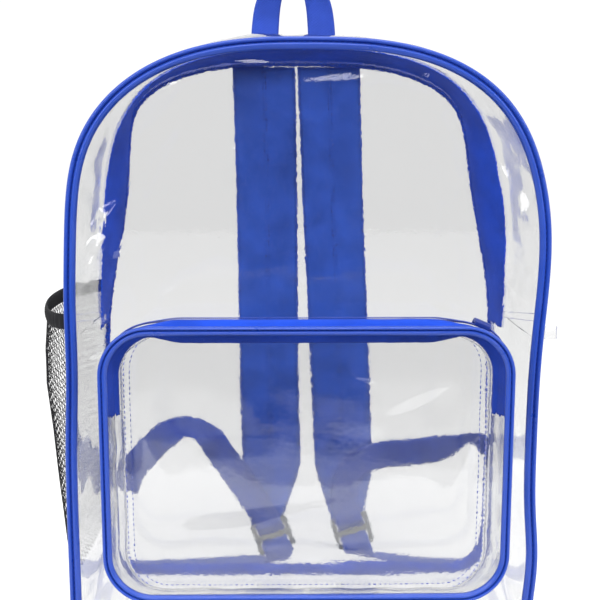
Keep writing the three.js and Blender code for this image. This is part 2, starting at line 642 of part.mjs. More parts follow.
// A slider on the pocket's zip near the right top corner, with a loop of cord for its pull
function buildPocketSlider() {
  const seat = coilSpot(0, GAP);
  const slider = sliderBody(COIL_WIDTH, COIL_HEIGHT);
  slider.rotateY(Math.atan2(seat.out.x, seat.out.z)).translate(...seat.at);
  add("pocket_zip_slider", "slider", slider);

  // The loop lies on the coil beyond the slider and follows it round the corner.
  const start = SLIDER_LENGTH / 2 + GAP + LOOP_CORD / 2;
  const bend = LOOP_WIDTH / 2;
  const straight = LOOP_LENGTH - LOOP_WIDTH;
  const steps = Array.from({ length: LOOP_STEPS }, (_, i) => i / LOOP_STEPS);
  const arc = (end) => steps.map((share) => {
    const a = Math.PI * (share - 0.5);
    return [Math.max(end, 0) * straight + end * bend * Math.cos(a), end * bend * Math.sin(a)];
  });
  const loop = [
    ...steps.map((share) => [straight * share, -bend]), ...arc(1),
    ...steps.map((share) => [straight * (1 - share), bend]), ...arc(-1),
  ];
  const spots = loop.map(([along, across]) => {
    const spot = coilSpot(start + bend + along, LOOP_CLEAR + LOOP_CORD / 2);
    spot.at.y += across;
    return spot;
  });
  add("pocket_zip_loop", "slider",
    cordLoop(spots.map(({ at }) => at), LOOP_CORD / 2, spots.map(({ out }) => out)));
}

// A closed loop of round cord through middle points; ups are directions across the cord
function cordLoop(middle, radius, ups) {
  const count = middle.length;
  return bar(middle.map((p, i) => {
    const along = middle[(i + 1) % count].clone().sub(middle[(i + count - 1) % count]);
    const side = along.clone().cross(ups[i]).normalize();
    const up = side.clone().cross(along).normalize();
    return Array.from({ length: CORD_SIDES }, (_, k) => {
      const a = (2 * Math.PI * k) / CORD_SIDES;
      return p.clone().addScaledVector(side, radius * Math.cos(a))
        .addScaledVector(up, radius * Math.sin(a));
    });
  }), true);
}

// Mesh pocket on the left side wall. height is a share of the net's height, out of its bulge.
const MESH_PROFILE = [
  { height: 0, out: 0 }, { height: 0.06, out: 0.32 }, { height: 0.33, out: 0.58 },
  { height: 0.57, out: 0.78 }, { height: 0.74, out: 0.98 }, { height: 0.88, out: 1 },
  { height: 1, out: 0.92 },
];
const MESH_COLUMNS = 9;
const MESH_FULLNESS = 0.45; // how squarely it bellies from front to back
function meshRow(height, bulge, wall, rise) {
  const row = [];
  for (let i = 0; i < MESH_COLUMNS; i++) {
    const share = i / (MESH_COLUMNS - 1);
    const y = mix(WALL_FRONT + wall, WALL_BACK - wall, share);
    const z = height + rise * share;
    const out = bulge * Math.sin(Math.PI * share) ** MESH_FULLNESS;
    const wallX = HALF - GUSSET_INSET + VINYL / 2 + drape(-1, z, y);
    row.push(point(-(wallX + MESH_CLEAR + wall / 2 + out), y, z));
  }
  return row;
}
function buildMeshPocket() {
  const rows = MESH_PROFILE.map(({ height, out }) => meshRow(
    mix(MESH_BOTTOM, MESH_TOP - GAP, height), MESH_BULGE * out, MESH_WALL,
    ELASTIC_RISE * height));
  add("mesh_pocket", "mesh", sheet(rows, MESH_WALL));
  const rim = MESH_PROFILE[MESH_PROFILE.length - 1].out * MESH_BULGE;
  add("mesh_pocket_elastic", "mesh", sheet([0, 1].map((share) => meshRow(
    MESH_TOP + ELASTIC_HEIGHT * share, rim, ELASTIC_WALL, ELASTIC_RISE)), ELASTIC_WALL));
}

// A folded tab of clear sheet in the right side seam, at the top of the lower wall
function buildTab() {
  const lower = wallPoint(RIGHT_JUNCTION, FRONT + PIPING_DEPTH, 0);
  const upper = wallPoint(RIGHT_JUNCTION + 1, FRONT + PIPING_DEPTH, 0);
  const x = mix(lower.x, upper.x, (TAB_HEIGHT + GAP) / (upper.z - lower.z)) + GAP;
  const shape = new THREE.Shape();
  const half = TAB_WALL / 2;
  shape.moveTo(0, -half);
  shape.lineTo(TAB_LENGTH - half, -half);
  shape.absarc(TAB_LENGTH - half, 0, half, -Math.PI / 2, Math.PI / 2);
  shape.lineTo(0, half);
  const tab = new THREE.ExtrudeGeometry(shape, {
    depth: TAB_HEIGHT, bevelEnabled: false, curveSegments: 4,
  });
  tab.translate(x, FRONT_PLANE, JUNCTION_HEIGHT + GAP);
  add("side_tab", "vinyl", tab);
}

// A flat band through stations of { at, wide }: wide is the direction of its width
function band(stations, width, thickness) {
  const last = stations.length - 1;
  return bar(stations.map(({ at, wide, share = 1 }, i) => {
    const along = stations[Math.min(i + 1, last)].at.clone()
      .sub(stations[Math.max(i - 1, 0)].at).normalize();
    const n = along.clone().cross(wide).normalize();
    const corner = (a, b) => at.clone().addScaledVector(wide, (a * width * share) / 2)
      .addScaledVector(n, (b * thickness) / 2);
    return [corner(1, -1), corner(1, 1), corner(-1, 1), corner(-1, -1)];
  }));
}

// Half of the handle's curve, from its foot to its top, as shares of half its spread and rise
const HANDLE_CURVE = [
  { out: 1, up: 0 }, { out: 1.03, up: 0.3 }, { out: 0.86, up: 0.7 }, { out: 0.48, up: 0.94 },
  { out: 0, up: 1 },
];
function buildHandle() {
  const mirror = HANDLE_CURVE.slice(0, -1).reverse().map(({ out, up }) => ({ out: -out, up }));
  const foot = BAG_HEIGHT + GAP;
  const curve = new THREE.CatmullRomCurve3([...HANDLE_CURVE, ...mirror].map(({ out, up }) => point(
    HANDLE_OFFSET - (out * HANDLE_SPREAD) / 2, BACK_PLANE, foot + up * HANDLE_RISE)));
  const stations = curve.getPoints(HANDLE_STEPS).map((at, i) => {
    const turn = Math.PI * smooth(i / HANDLE_STEPS);
    return { at, wide: point(Math.cos(turn), Math.sin(turn), 0) };
  });
  add("haul_handle", "webbing", band(stations, HANDLE_WIDTH, HANDLE_WALL));
}

// Shoulder straps, each with its adjuster and webbing. side is the way that the webbing goes.
// path: the strap's middle, x in strap widths, height as a share of the way from the taper to
// the top seam, stand as a share of STRAP_STAND.
// adjuster: x in strap widths, height as a share of the taper's, stand as in path.
// tail: shares of TAIL_REACH, TAIL_RISE and TAIL_STAND, and how far it is turned on edge.
// lower: shares of the way to the sewn end, of the adjuster's height and of LOWER_STAND, and
// which way the width points: 0 is along X, 90 is along Y.
const STRAPS = [
  {
    name: "left",
    side: -1,
    path: [
      { height: 1, x: -0.559, stand: 0 }, { height: 0.84, x: -0.537, stand: 0.34 },
      { height: 0.68, x: -0.524, stand: 0.66 }, { height: 0.4, x: -0.51, stand: 0.97 },
      { height: 0.18, x: -0.498, stand: 0.95 }, { height: 0, x: -0.475, stand: 0.77 },
    ],
    adjuster: { x: -0.451, height: 0.323, stand: 0.62, turn: 20 },
    tail: [
      { out: 0.135, up: 0.36, stand: -0.03, turn: 0 },
      { out: 0.246, up: 0.59, stand: -0.03, turn: 0 },
      { out: 0.346, up: 0.78, stand: 0.06, turn: 4 },
      { out: 0.438, up: 0.93, stand: 0.6, turn: 46 },
      { out: 0.57, up: 1, stand: 0.96, turn: 60 },
      { out: 0.71, up: 0.94, stand: 0.62, turn: 25 },
      { out: 0.83, up: 0.8, stand: 0.3, turn: 5 },
      { out: 0.94, up: 0.63, stand: 0.15, turn: 0 },
      { out: 1, up: 0.45, stand: 0.15, turn: 0 },
    ],
    lower: [
      { along: -0.02, up: 0.15, stand: 0.1, swing: 22 },
      { along: 0.09, up: 0.09, stand: 0.95, swing: 55 },
      { along: 0.28, up: 0.05, stand: 0.95, swing: 80 },
      { along: 0.5, up: 0.02, stand: 0.5, swing: 88 },
      { along: 0.76, up: 0.01, stand: 0.22, swing: 90 },
      { along: 1, up: 0, stand: 0, swing: 90 },
    ],
  },
  {
    name: "right",
    side: 1,
    path: [
      { height: 1, x: 0.476, stand: 0 }, { height: 0.84, x: 0.521, stand: 0.34 },
      { height: 0.68, x: 0.563, stand: 0.66 }, { height: 0.4, x: 0.659, stand: 0.97 },
      { height: 0.18, x: 0.724, stand: 0.95 }, { height: 0, x: 0.778, stand: 0.77 },
    ],
    adjuster: { x: 0.931, height: 0.366, stand: 0.62, turn: 17 },
    tail: [
      { out: -0.058, up: 0.29, stand: -0.03, turn: 0 },
      { out: -0.05, up: 0.454, stand: -0.03, turn: 0 },
      { out: 0.027, up: 0.63, stand: -0.03, turn: 0 },
      { out: 0.158, up: 0.711, stand: -0.03, turn: 0 },
      { out: 0.38, up: 0.742, stand: 0.08, turn: 0 },
      { out: 0.573, up: 0.773, stand: 0.12, turn: 5 },
      { out: 0.711, up: 0.814, stand: 0.36, turn: 35 },
      { out: 0.827, up: 0.856, stand: 0.5, turn: 50 },
      { out: 0.919, up: 0.784, stand: 0.36, turn: 30 },
    ],
    lower: [
      { along: 0.085, up: 0.26, stand: 0.1, swing: -20 },
      { along: 0.19, up: 0.18, stand: 0.8, swing: -52 },
      { along: 0.38, up: 0.1, stand: 0.95, swing: -78 },
      { along: 0.6, up: 0.03, stand: 0.5, swing: -88 },
      { along: 0.81, up: 0.01, stand: 0.22, swing: -90 },
      { along: 1, up: 0, stand: 0, swing: -90 },
    ],
  },
];

function buildStrap({ name, side, path, adjuster, tail, lower }) {
  const top = BACK + GAP + STRAP_WALL / 2;
  const turn = THREE.MathUtils.degToRad(adjuster.turn);
  const across = point(Math.cos(turn), 0, Math.sin(turn));
  const up = point(-Math.sin(turn), 0, Math.cos(turn));
  const middle = point(adjuster.x * STRAP_WIDTH, top + adjuster.stand * STRAP_STAND,
    adjuster.height * STRAP_TAPER);
  const local = (v, w) => middle.clone().addScaledVector(up, v).add(point(0, w, 0));

  const straight = path.map(({ height, x, stand }) => ({
    at: point(x * STRAP_WIDTH, top + stand * STRAP_STAND, mix(STRAP_TAPER, STRAP_TOP, height)),
    wide: point(1, 0, 0),
  }));
  const end = {
    at: local(ADJUSTER_HEIGHT / 2 + GAP, 0), wide: across, share: STRAP_END_WIDTH / STRAP_WIDTH,
  };
  add(`shoulder_strap_${name}`, "strap", band([...straight, end], STRAP_WIDTH, STRAP_WALL));

  add(`strap_adjuster_${name}`, "plastic", adjusterPlate().rotateX(Math.PI / 2)
    .rotateY(-turn).translate(middle.x, middle.y, middle.z));

  // The webbing comes up in front of the lower bar, behind the middle one, and out in front.
  const off = ADJUSTER_WALL / 2 + GAP + WEBBING_WALL / 2;
  const bend = ADJUSTER_BAR / 2 + WEBBING_WALL / 2;
  const outside = ADJUSTER_HEIGHT / 2;
  const threaded = [
    [-outside - ADJUSTER_BAR, -off], [-outside + ADJUSTER_BAR + GAP, -off], [-bend, off],
    [bend, off], [outside - ADJUSTER_BAR - GAP, -off], [outside, -off],
  ].map(([v, w]) => ({ at: local(v, w), wide: across }));
  const sewnX = side * (HALF - CORNER_REACH);
  const sewnY = BACK + GAP + WEBBING_WIDTH / 2;
  const floor = WEBBING_WALL / 2 + GAP;
  const lying = lower.map(({ along, up: rise, stand, swing }) => {
    const a = THREE.MathUtils.degToRad(swing);
    const at = point(mix(middle.x, sewnX, along), sewnY + stand * LOWER_STAND,
      floor + rise * middle.z);
    return { at, wide: point(Math.cos(a), Math.sin(a), 0) };
  }).reverse();
  const first = threaded[threaded.length - 1].at;
  const knots = [first, ...tail.map(({ out, up: rise, stand }) => point(
    middle.x + side * out * TAIL_REACH, first.y + stand * TAIL_STAND,
    middle.z + rise * TAIL_RISE))];
  const hanging = tail.map(({ turn: twist }, i) => {
    const before = knots[i];
    const after = knots[Math.min(i + 2, knots.length - 1)];
    const along = after.clone().sub(before).normalize();
    const flat = point(along.z, 0, -along.x).normalize();
    const out = along.clone().cross(flat);
    const a = THREE.MathUtils.degToRad(twist);
    return {
      at: knots[i + 1],
      wide: flat.multiplyScalar(Math.cos(a)).addScaledVector(out, Math.sin(a)),
    };
  });
  add(`webbing_${name}`, "webbing", band([...lying, ...threaded, ...hanging],
    WEBBING_WIDTH, WEBBING_WALL));
}

// A flat plate with two slots and so three bars, in the XY plane, its width along X
function adjusterPlate() {
  const rounded = (halfX, lowY, highY, corner, ShapeType) => {
    const shape = new ShapeType();
    shape.moveTo(halfX, lowY + corner);
    shape.lineTo(halfX, highY - corner);
    shape.absarc(halfX - corner, highY - corner, corner, 0, Math.PI / 2);
    shape.lineTo(-halfX + corner, highY);
    shape.absarc(-halfX + corner, highY - corner, corner, Math.PI / 2, Math.PI);
    shape.lineTo(-halfX, lowY + corner);
    shape.absarc(-halfX + corner, lowY + corner, corner, Math.PI, Math.PI * 1.5);
    shape.lineTo(halfX - corner, lowY);
    shape.absarc(halfX - corner, lowY + corner, corner, Math.PI * 1.5, Math.PI * 2);
    return shape;
  };
  const high = ADJUSTER_HEIGHT / 2;
  const plate = rounded(ADJUSTER_WIDTH / 2, -high, high, ADJUSTER_CORNER, THREE.Shape);
  const slotHalf = ADJUSTER_WIDTH / 2 - ADJUSTER_BAR + GAP;
  const near = ADJUSTER_BAR / 2;
  const far = high - ADJUSTER_BAR;
  for (const [low, top] of [[near, far], [-far, -near]])
    plate.holes.push(rounded(slotHalf, low, top, SLOT_CORNER, THREE.Path));
  return new THREE.ExtrudeGeometry(plate, {
    depth: ADJUSTER_WALL, bevelEnabled: false, curveSegments: 2,
  }).translate(0, 0, -ADJUSTER_WALL / 2);
}

buildPanels();
buildPiping();
buildWalls();
buildMainZip();
buildPocket();
buildPocketSlider();
buildMeshPocket();
buildTab();
buildHandle();
STRAPS.forEach(buildStrap);

export default bag;
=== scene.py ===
# A clear vinyl backpack with blue piping, standing on its bottom. Metres, +Z up, front to -Y.
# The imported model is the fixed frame: each section dresses or replaces its nodes.
import math

import bmesh
import bpy
import numpy as np
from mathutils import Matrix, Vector, noise


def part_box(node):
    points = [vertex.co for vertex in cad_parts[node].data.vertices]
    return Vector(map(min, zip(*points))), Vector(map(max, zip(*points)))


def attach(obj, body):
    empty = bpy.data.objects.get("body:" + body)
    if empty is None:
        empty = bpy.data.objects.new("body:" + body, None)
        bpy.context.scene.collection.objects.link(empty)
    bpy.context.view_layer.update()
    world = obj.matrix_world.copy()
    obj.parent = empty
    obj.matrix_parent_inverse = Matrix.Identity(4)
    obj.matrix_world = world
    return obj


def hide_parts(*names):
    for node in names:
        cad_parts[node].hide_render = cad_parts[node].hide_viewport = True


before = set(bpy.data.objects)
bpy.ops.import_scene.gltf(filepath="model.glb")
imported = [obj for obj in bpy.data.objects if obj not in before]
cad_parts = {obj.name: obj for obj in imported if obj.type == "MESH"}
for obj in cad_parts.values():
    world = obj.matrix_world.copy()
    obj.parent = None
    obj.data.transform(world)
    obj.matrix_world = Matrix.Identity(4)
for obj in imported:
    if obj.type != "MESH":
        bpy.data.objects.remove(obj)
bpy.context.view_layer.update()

# The camera stands in front of the bag, a little above its middle, and looks down at it.
# Its lens is the number of pixels that one metre at one metre takes in a 600-pixel image.
LENS_PIXELS = 938
IMAGE_PIXELS = 600
SENSOR = 36
camera_data = bpy.data.cameras.new("camera")
camera_data.sensor_width = SENSOR
camera_data.lens = SENSOR * LENS_PIXELS / IMAGE_PIXELS
camera = bpy.data.objects.new("camera", camera_data)
bpy.context.scene.collection.objects.link(camera)
camera.location = (-0.009, -0.708, 0.360)
camera.rotation_euler = (math.radians(90 - 8.55), 0, math.radians(-0.73))
bpy.context.scene.camera = camera

# A white studio: a bright wall behind the bag, a dark room on the camera's side, a soft sun
# overhead for the floor, and softboxes that draw crisp highlights on the clear sheet. The
# floor is a pale table, lit from below, that ends before the camera, so the sheet mirrors
# little of it.
ROOM_BEHIND = 1.04
ROOM_BEFORE = 0.07
ROOM_TURNS = (-0.6, 0.5)  # from the dark side to the bright one, along Y
SUN = 0.72
SOFTBOXES = (  # name, place, size across, size up, watts
    ("left", (-1.0, -1.1, 0.9), 0.5, 1.0, 11),
    ("right", (1.1, -0.9, 0.8), 0.45, 0.9, 9),
    ("above", (0.1, -0.5, 1.7), 0.9, 0.5, 10),
    ("over_camera", (-0.1, -1.0, 0.85), 0.7, 0.25, 5),
)
LOOK_AT = Vector((0, 0, 0.25))
FLOOR_HALF = 4
FLOOR_FRONT = -0.55
FLOOR_DROP = 0.0004
FLOOR_GREY = (0.4, 0.4, 0.4, 1)
FLOOR_GLOW = 0.74
FLOOR_ROUGHNESS = 0.9
WHITE = (1, 1, 1, 1)

scene = bpy.context.scene
scene.view_settings.view_transform = "Standard"
scene.cycles.max_bounces = 32
scene.cycles.transmission_bounces = 24
scene.cycles.transparent_max_bounces = 24
scene.cycles.glossy_bounces = 8
scene.cycles.diffuse_bounces = 4
scene.cycles.caustics_reflective = False
scene.cycles.caustics_refractive = True


def add_node(tree, kind, links=None, **values):
    """A node with its own values, and links from its input names to sockets or numbers."""
    node = tree.nodes.new(kind)
    for name, value in values.items():
        setattr(node, name, value)
    for name, source in (links or {}).items():
        if isinstance(source, bpy.types.NodeSocket):
            tree.links.new(source, node.inputs[name])
        else:
            node.inputs[name].default_value = source
    return node


def add_piece(name, data):
    """An object in the scene for a mesh or a lamp."""
    piece = bpy.data.objects.new(name, data)
    scene.collection.objects.link(piece)
    return piece


world = bpy.data.worlds.new("studio")
scene.world = world
world.use_nodes = True
sky = world.node_tree
direction = add_node(sky, "ShaderNodeSeparateXYZ", {
    "Vector": add_node(sky, "ShaderNodeTexCoord").outputs["Generated"]})
depth_light = add_node(sky, "ShaderNodeMapRange", {
    "Value": direction.outputs["Y"], "From Min": ROOM_TURNS[0], "From Max": ROOM_TURNS[1],
    "To Min": ROOM_BEFORE, "To Max": ROOM_BEHIND})
seen = add_node(sky, "ShaderNodeMix", {
    0: add_node(sky, "ShaderNodeLightPath").outputs["Is Camera Ray"],
    2: depth_light.outputs["Result"], 3: ROOM_BEHIND})
sky.links.new(seen.outputs[0], sky.nodes["Background"].inputs["Strength"])
sky.nodes["Background"].inputs["Color"].default_value = WHITE

sun_data = bpy.data.lights.new("sun", "SUN")
sun_data.energy = SUN
sun_data.angle = math.radians(70)
sun = add_piece("sun", sun_data)
sun.rotation_euler = (math.radians(12), math.radians(6), 0)
for name, place, across, up, watts in SOFTBOXES:
    lamp_data = bpy.data.lights.new("softbox_" + name, "AREA")
    lamp_data.shape = "RECTANGLE"
    lamp_data.size = across
    lamp_data.size_y = up
    lamp_data.energy = watts
    lamp = add_piece("softbox_" + name, lamp_data)
    lamp.location = place
    lamp.rotation_euler = (LOOK_AT - lamp.location).to_track_quat("-Z", "Y").to_euler()
    lamp.visible_camera = False
    lamp.visible_transmission = False

floor_mesh = bpy.data.meshes.new("floor")
floor_mesh.from_pydata(
    [(-FLOOR_HALF, FLOOR_FRONT, -FLOOR_DROP), (FLOOR_HALF, FLOOR_FRONT, -FLOOR_DROP),
     (FLOOR_HALF, FLOOR_HALF, -FLOOR_DROP), (-FLOOR_HALF, FLOOR_HALF, -FLOOR_DROP)],
    [], [(0, 1, 2, 3)])
floor = add_piece("floor", floor_mesh)
floor_paint = bpy.data.materials.new("floor_paint")
floor_paint.use_nodes = True
floor_base = floor_paint.node_tree.nodes["Principled BSDF"]
floor_base.inputs["Base Color"].default_value = FLOOR_GREY
floor_base.inputs["Emission Color"].default_value = WHITE
floor_base.inputs["Emission Strength"].default_value = FLOOR_GLOW
floor_base.inputs["Roughness"].default_value = FLOOR_ROUGHNESS
floor_mesh.materials.append(floor_paint)

# The bag's shape, which every seam follows: flat bottom, round lower corners, straight sides
# and a rounded top, the same outline in front and behind. The soft sides hang in at the back.
piping_low, piping_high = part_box("front_piping")
binding_low, binding_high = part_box("back_binding")
BAG_HALF = -binding_low.x
BAG_TOP = binding_high.z
BAG_FRONT = piping_low.y
BAG_BACK = binding_high.y
BAG_DEPTH = BAG_BACK - BAG_FRONT
ARCH_RISE = 0.150
ARCH_POWER = 2.6
BOTTOM_CORNER = 0.034
FRONT_CROWN = 0.006
BACK_CROWN = 0.004
CROWN_POWER = 2.5
DRAPE_FROM = 0.62
DRAPE_FULL = 0.95
LEAN_IN = 0.035
TOP_SWELL = 0.012
SWELL_PROFILE = np.array([  # share of the way from the front seam to the back one, rise
    (0, 0), (0.05, 0.25), (0.12, 0.52), (0.22, 0.8), (0.35, 0.96), (0.5, 1.0), (0.62, 0.9),
    (0.73, 0.73), (0.85, 0.605), (0.94, 0.42), (0.98, 0.25), (1, 0)])
SWELL_FRONT = BAG_FRONT + 0.0073
SWELL_BACK = BAG_BACK - 0.0063
OUTLINE_STEPS = 2400
DRAPE = (  # side, height, spread, out at the front, out at the back, as shares of the bag
    (1, 0.76, 0.16, 0.0, -0.05),
    (-1, 0.75, 0.16, 0.0, -0.052),
    (1, 0.96, 0.1, 0.0, 0.04),
    (-1, 0.96, 0.1, 0.0, 0.05),
    (1, 1.0, 0.2, 0.021, 0.0),
    (1, 0.66, 0.13, 0.014, 0.006),
    (1, 0.17, 0.08, 0.011, 0.0),
    (-1, 1.0, 0.15, -0.006, 0.0),
    (-1, 0.72, 0.12, -0.0145, 0.0),
    (-1, 0.5, 0.12, -0.009, 0.0),
)


def ease(share):
    share = np.clip(share, 0, 1)
    return share * share * (3 - 2 * share)


def mix(a, b, share):
    return a + (b - a) * share


def drape(lean, z, y):
    """How far the soft side stands out at a height and depth; lean is -1 left to 1 right."""
    depth = ease(((y - BAG_FRONT) / BAG_DEPTH - DRAPE_FROM) / (DRAPE_FULL - DRAPE_FROM))
    shift = 0
    for side, height, spread, front, back in DRAPE:
        away = (z / BAG_TOP - height) / spread
        weight = np.clip(lean * side, 0, 1)
        shift = shift + side * weight * 2 * BAG_HALF * mix(front, back, depth) * np.exp(-away**2)
    return shift


def outline_from(half):
    """Even points and outward directions round a closed outline, from its right half."""
    whole = np.vstack([half, half[::-1] * (-1, 1)])
    steps = np.linalg.norm(np.diff(whole, axis=0), axis=1)
    length = np.concatenate([[0], np.cumsum(steps)])
    even = np.linspace(0, length[-1], OUTLINE_STEPS + 1)[:-1]
    points = np.stack([np.interp(even, length, whole[:, k]) for k in (0, 1)], 1)
    along = np.roll(points, -2, 0) - np.roll(points, 2, 0)
    out = np.stack([along[:, 1], -along[:, 0]], 1)
    out /= np.linalg.norm(out, axis=1)[:, None]
    return {"points": points, "out": out, "length": length[-1]}


def on_outline(outline, share):
    """Point and outward direction at a share of the way round, from the bottom's middle."""
    where = np.mod(share, 1) * OUTLINE_STEPS
    grid = np.arange(OUTLINE_STEPS + 1)
    found = []
    for values in (outline["points"], outline["out"]):
        closed = np.vstack([values, values[:1]])
        found.append([np.interp(where, grid, closed[:, k]) for k in (0, 1)])
    return found


def bag_half():
    turn = np.linspace(0, math.pi / 2, 300)
    straight = BAG_HALF - BOTTOM_CORNER
    corner = np.stack([straight + BOTTOM_CORNER * np.sin(turn),
                       BOTTOM_CORNER * (1 - np.cos(turn))], 1)
    arch = np.stack([BAG_HALF * np.clip(np.cos(turn), 0, 1) ** (2 / ARCH_POWER),
                     BAG_TOP - ARCH_RISE + ARCH_RISE * np.sin(turn) ** (2 / ARCH_POWER)], 1)
    arch[-1, 0] = 0
    return np.vstack([[(0, 0)], corner, arch])


BAG = outline_from(bag_half())


def swell(y):
    """How far the top wall rises between its seams at a depth."""
    share = (y - SWELL_FRONT) / (SWELL_BACK - SWELL_FRONT)
    return TOP_SWELL * np.interp(share, *SWELL_PROFILE.T)


def bag_at(share, y, inset):
    """A point of the bag's side at a share round it and a depth, moved in from the outline."""
    share, y, inset = np.broadcast_arrays(share, y, inset)
    (x, z), (out_x, out_z) = on_outline(BAG, share)
    z = z - out_z * inset
    x = x - out_x * inset + drape(np.clip(x / LEAN_IN, -1, 1), z, y)
    return np.stack([x, y, z + swell(y) * ease(out_z)], -1)


def share_at_height(z):
    """The share of the way round at which the right side reaches a height."""
    half = BAG["points"][: OUTLINE_STEPS // 2, 1]
    return np.interp(z, half, np.arange(len(half))) / OUTLINE_STEPS


def crown(x, z):
    across = np.clip(np.abs(x) / BAG_HALF, 0, 1)
    up = np.clip(np.abs(z / BAG_TOP - 0.5) * 2, 0, 1)
    return (1 - across**CROWN_POWER) * (1 - up**CROWN_POWER)


def grid_piece(name, points, uv=None, close_u=False, close_v=False, flip=False, caps=False):
    """A smooth mesh from points[row][column]. A closed direction joins its end to its start."""
    rows, columns = points.shape[:2]
    row = np.arange(rows if close_v else rows - 1)
    column = np.arange(columns if close_u else columns - 1)
    i, j = [a.ravel() for a in np.meshgrid(row, column, indexing="ij")]
    corners = [(i, j), (i, j + 1), (i + 1, j + 1), (i + 1, j)]
    if flip:
        corners = corners[::-1]
    faces = np.stack([(a % rows) * columns + b % columns for a, b in corners], 1).tolist()
    if caps:
        ring = list(range(columns))
        last = [columns * (rows - 1) + k for k in ring]
        faces += [ring, last[::-1]] if flip else [ring[::-1], last]
    mesh = bpy.data.meshes.new(name)
    mesh.from_pydata(points.reshape(-1, 3).tolist(), [], faces)
    if uv is not None:
        layer = mesh.uv_layers.new(name="cloth")
        flat = np.stack([uv[a, b] for a, b in corners], 1).reshape(-1, 2)
        if caps:
            ends = uv[[0] * columns + [rows - 1] * columns, 0]
            flat = np.vstack([flat, ends])
        layer.data.foreach_set("uv", flat.astype(np.float32).ravel())
    mesh.shade_smooth()
    return add_piece(name, mesh)


def dress(piece, material, slot, *nodes):
    """Gives a piece its material; the slot is not used. It rides on the one body and stands for its
    nodes.
    """
    piece.data.materials.clear()
    piece.data.materials.append(material)
    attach(piece, "root")
    if nodes:
        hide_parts(*nodes)
    return piece


def thicken(piece, wall, rim=True):
    """Gives a sheet its wall, half to each side."""
    shell = piece.modifiers.new("wall", "SOLIDIFY")
    shell.use_rim = rim
    shell.thickness = wall
    shell.offset = 0
    return piece


def noise_at(points, size, seed):
    """Smooth noise from -1 to 1 at points of any grid shape; size is that of one lump."""
    shift = Vector((seed * 7.31, seed * 3.17, seed * 5.71))
    flat = points.reshape(-1, 3) / size
    return np.array([noise.noise(Vector(p) + shift) for p in flat]).reshape(points.shape[:-1])


def creases_at(points, size, seed):
    """Facets of a crumpled sheet: 0 at the folds' lowest points, about 1 on their ridges."""
    shift = Vector((seed * 2.13, seed * 9.37, seed * 4.91))
    flat = points.reshape(-1, 3) / size
    found = np.array([noise.voronoi(Vector(p) + shift)[0][:2] for p in flat])
    return found[:, 0].reshape(points.shape[:-1])


def new_material(name, colour, roughness):
    material = bpy.data.materials.new(name)
    material.use_nodes = True
    base = material.node_tree.nodes["Principled BSDF"]
    base.inputs["Base Color"].default_value = (*colour, 1)
    base.inputs["Roughness"].default_value = roughness
    return material, material.node_tree, base


def add_bump(tree, base, height, distance, strength=1.0):
    bump = add_node(tree, "ShaderNodeBump", {
        "Height": height, "Distance": distance, "Strength": strength})
    tree.links.new(bump.outputs["Normal"], base.inputs["Normal"])
    return bump


def noise_on(tree, scale, detail):
    """Noise in a material, fixed to the piece that wears it."""
    place = add_node(tree, "ShaderNodeTexCoord").outputs["Object"]
    return add_node(tree, "ShaderNodeTexNoise", {
        "Vector": place, "Scale": scale, "Detail": detail}).outputs["Fac"]


def tint(tree, base, share, dark, light):
    """Colours a material from its dark tone to its light one by a share."""
    tones = add_node(tree, "ShaderNodeMix", {
        0: share, 6: (*dark, 1), 7: (*light, 1)}, data_type="RGBA")
    tree.links.new(tones.outputs[2], base.inputs["Base Color"])


def work_out(tree, operation, *values):
    """The result of one sum in a material."""
    return add_node(
        tree, "ShaderNodeMath", dict(enumerate(values)), operation=operation).outputs[0]


# Clear vinyl, soft sheet about a millimetre thick: faintly grey and cool, glossy, with the
# fine orange-peel of calendered film. Lamps shine through it, so it casts hardly a shadow.
VINYL_WALL = 0.001
VINYL_TINT = (0.878, 0.879, 0.880)
VINYL_ROUGHNESS = 0.035
VINYL_IOR = 1.47
PEEL_SCALE = 260
PEEL_HEIGHT = 0.00012
PEEL_STRENGTH = 0.35
vinyl, vinyl_tree, vinyl_base = new_material("clear_vinyl", VINYL_TINT, VINYL_ROUGHNESS)
vinyl_base.inputs["Transmission Weight"].default_value = 1
vinyl_base.inputs["IOR"].default_value = VINYL_IOR
add_bump(vinyl_tree, vinyl_base, noise_on(vinyl_tree, PEEL_SCALE, 2), PEEL_HEIGHT, PEEL_STRENGTH)
open_to_lamps = add_node(vinyl_tree, "ShaderNodeMixShader", {
    0: add_node(vinyl_tree, "ShaderNodeLightPath").outputs["Is Shadow Ray"],
    1: vinyl_base.outputs["BSDF"],
    2: add_node(vinyl_tree, "ShaderNodeBsdfTransparent", {
        "Color": (*VINYL_TINT, 1)}).outputs["BSDF"]})
vinyl_tree.links.new(
    open_to_lamps.outputs["Shader"], vinyl_tree.nodes["Material Output"].inputs["Surface"])


def clear_wall(name, points, uv, node, rim=True, flip=False):
    """One wall of the clear sheet. Without a rim its cut ends draw no line."""
    sheet = thicken(grid_piece(name, points, uv, flip=flip), VINYL_WALL, rim)
    return dress(sheet, vinyl, "clear_vinyl", node)


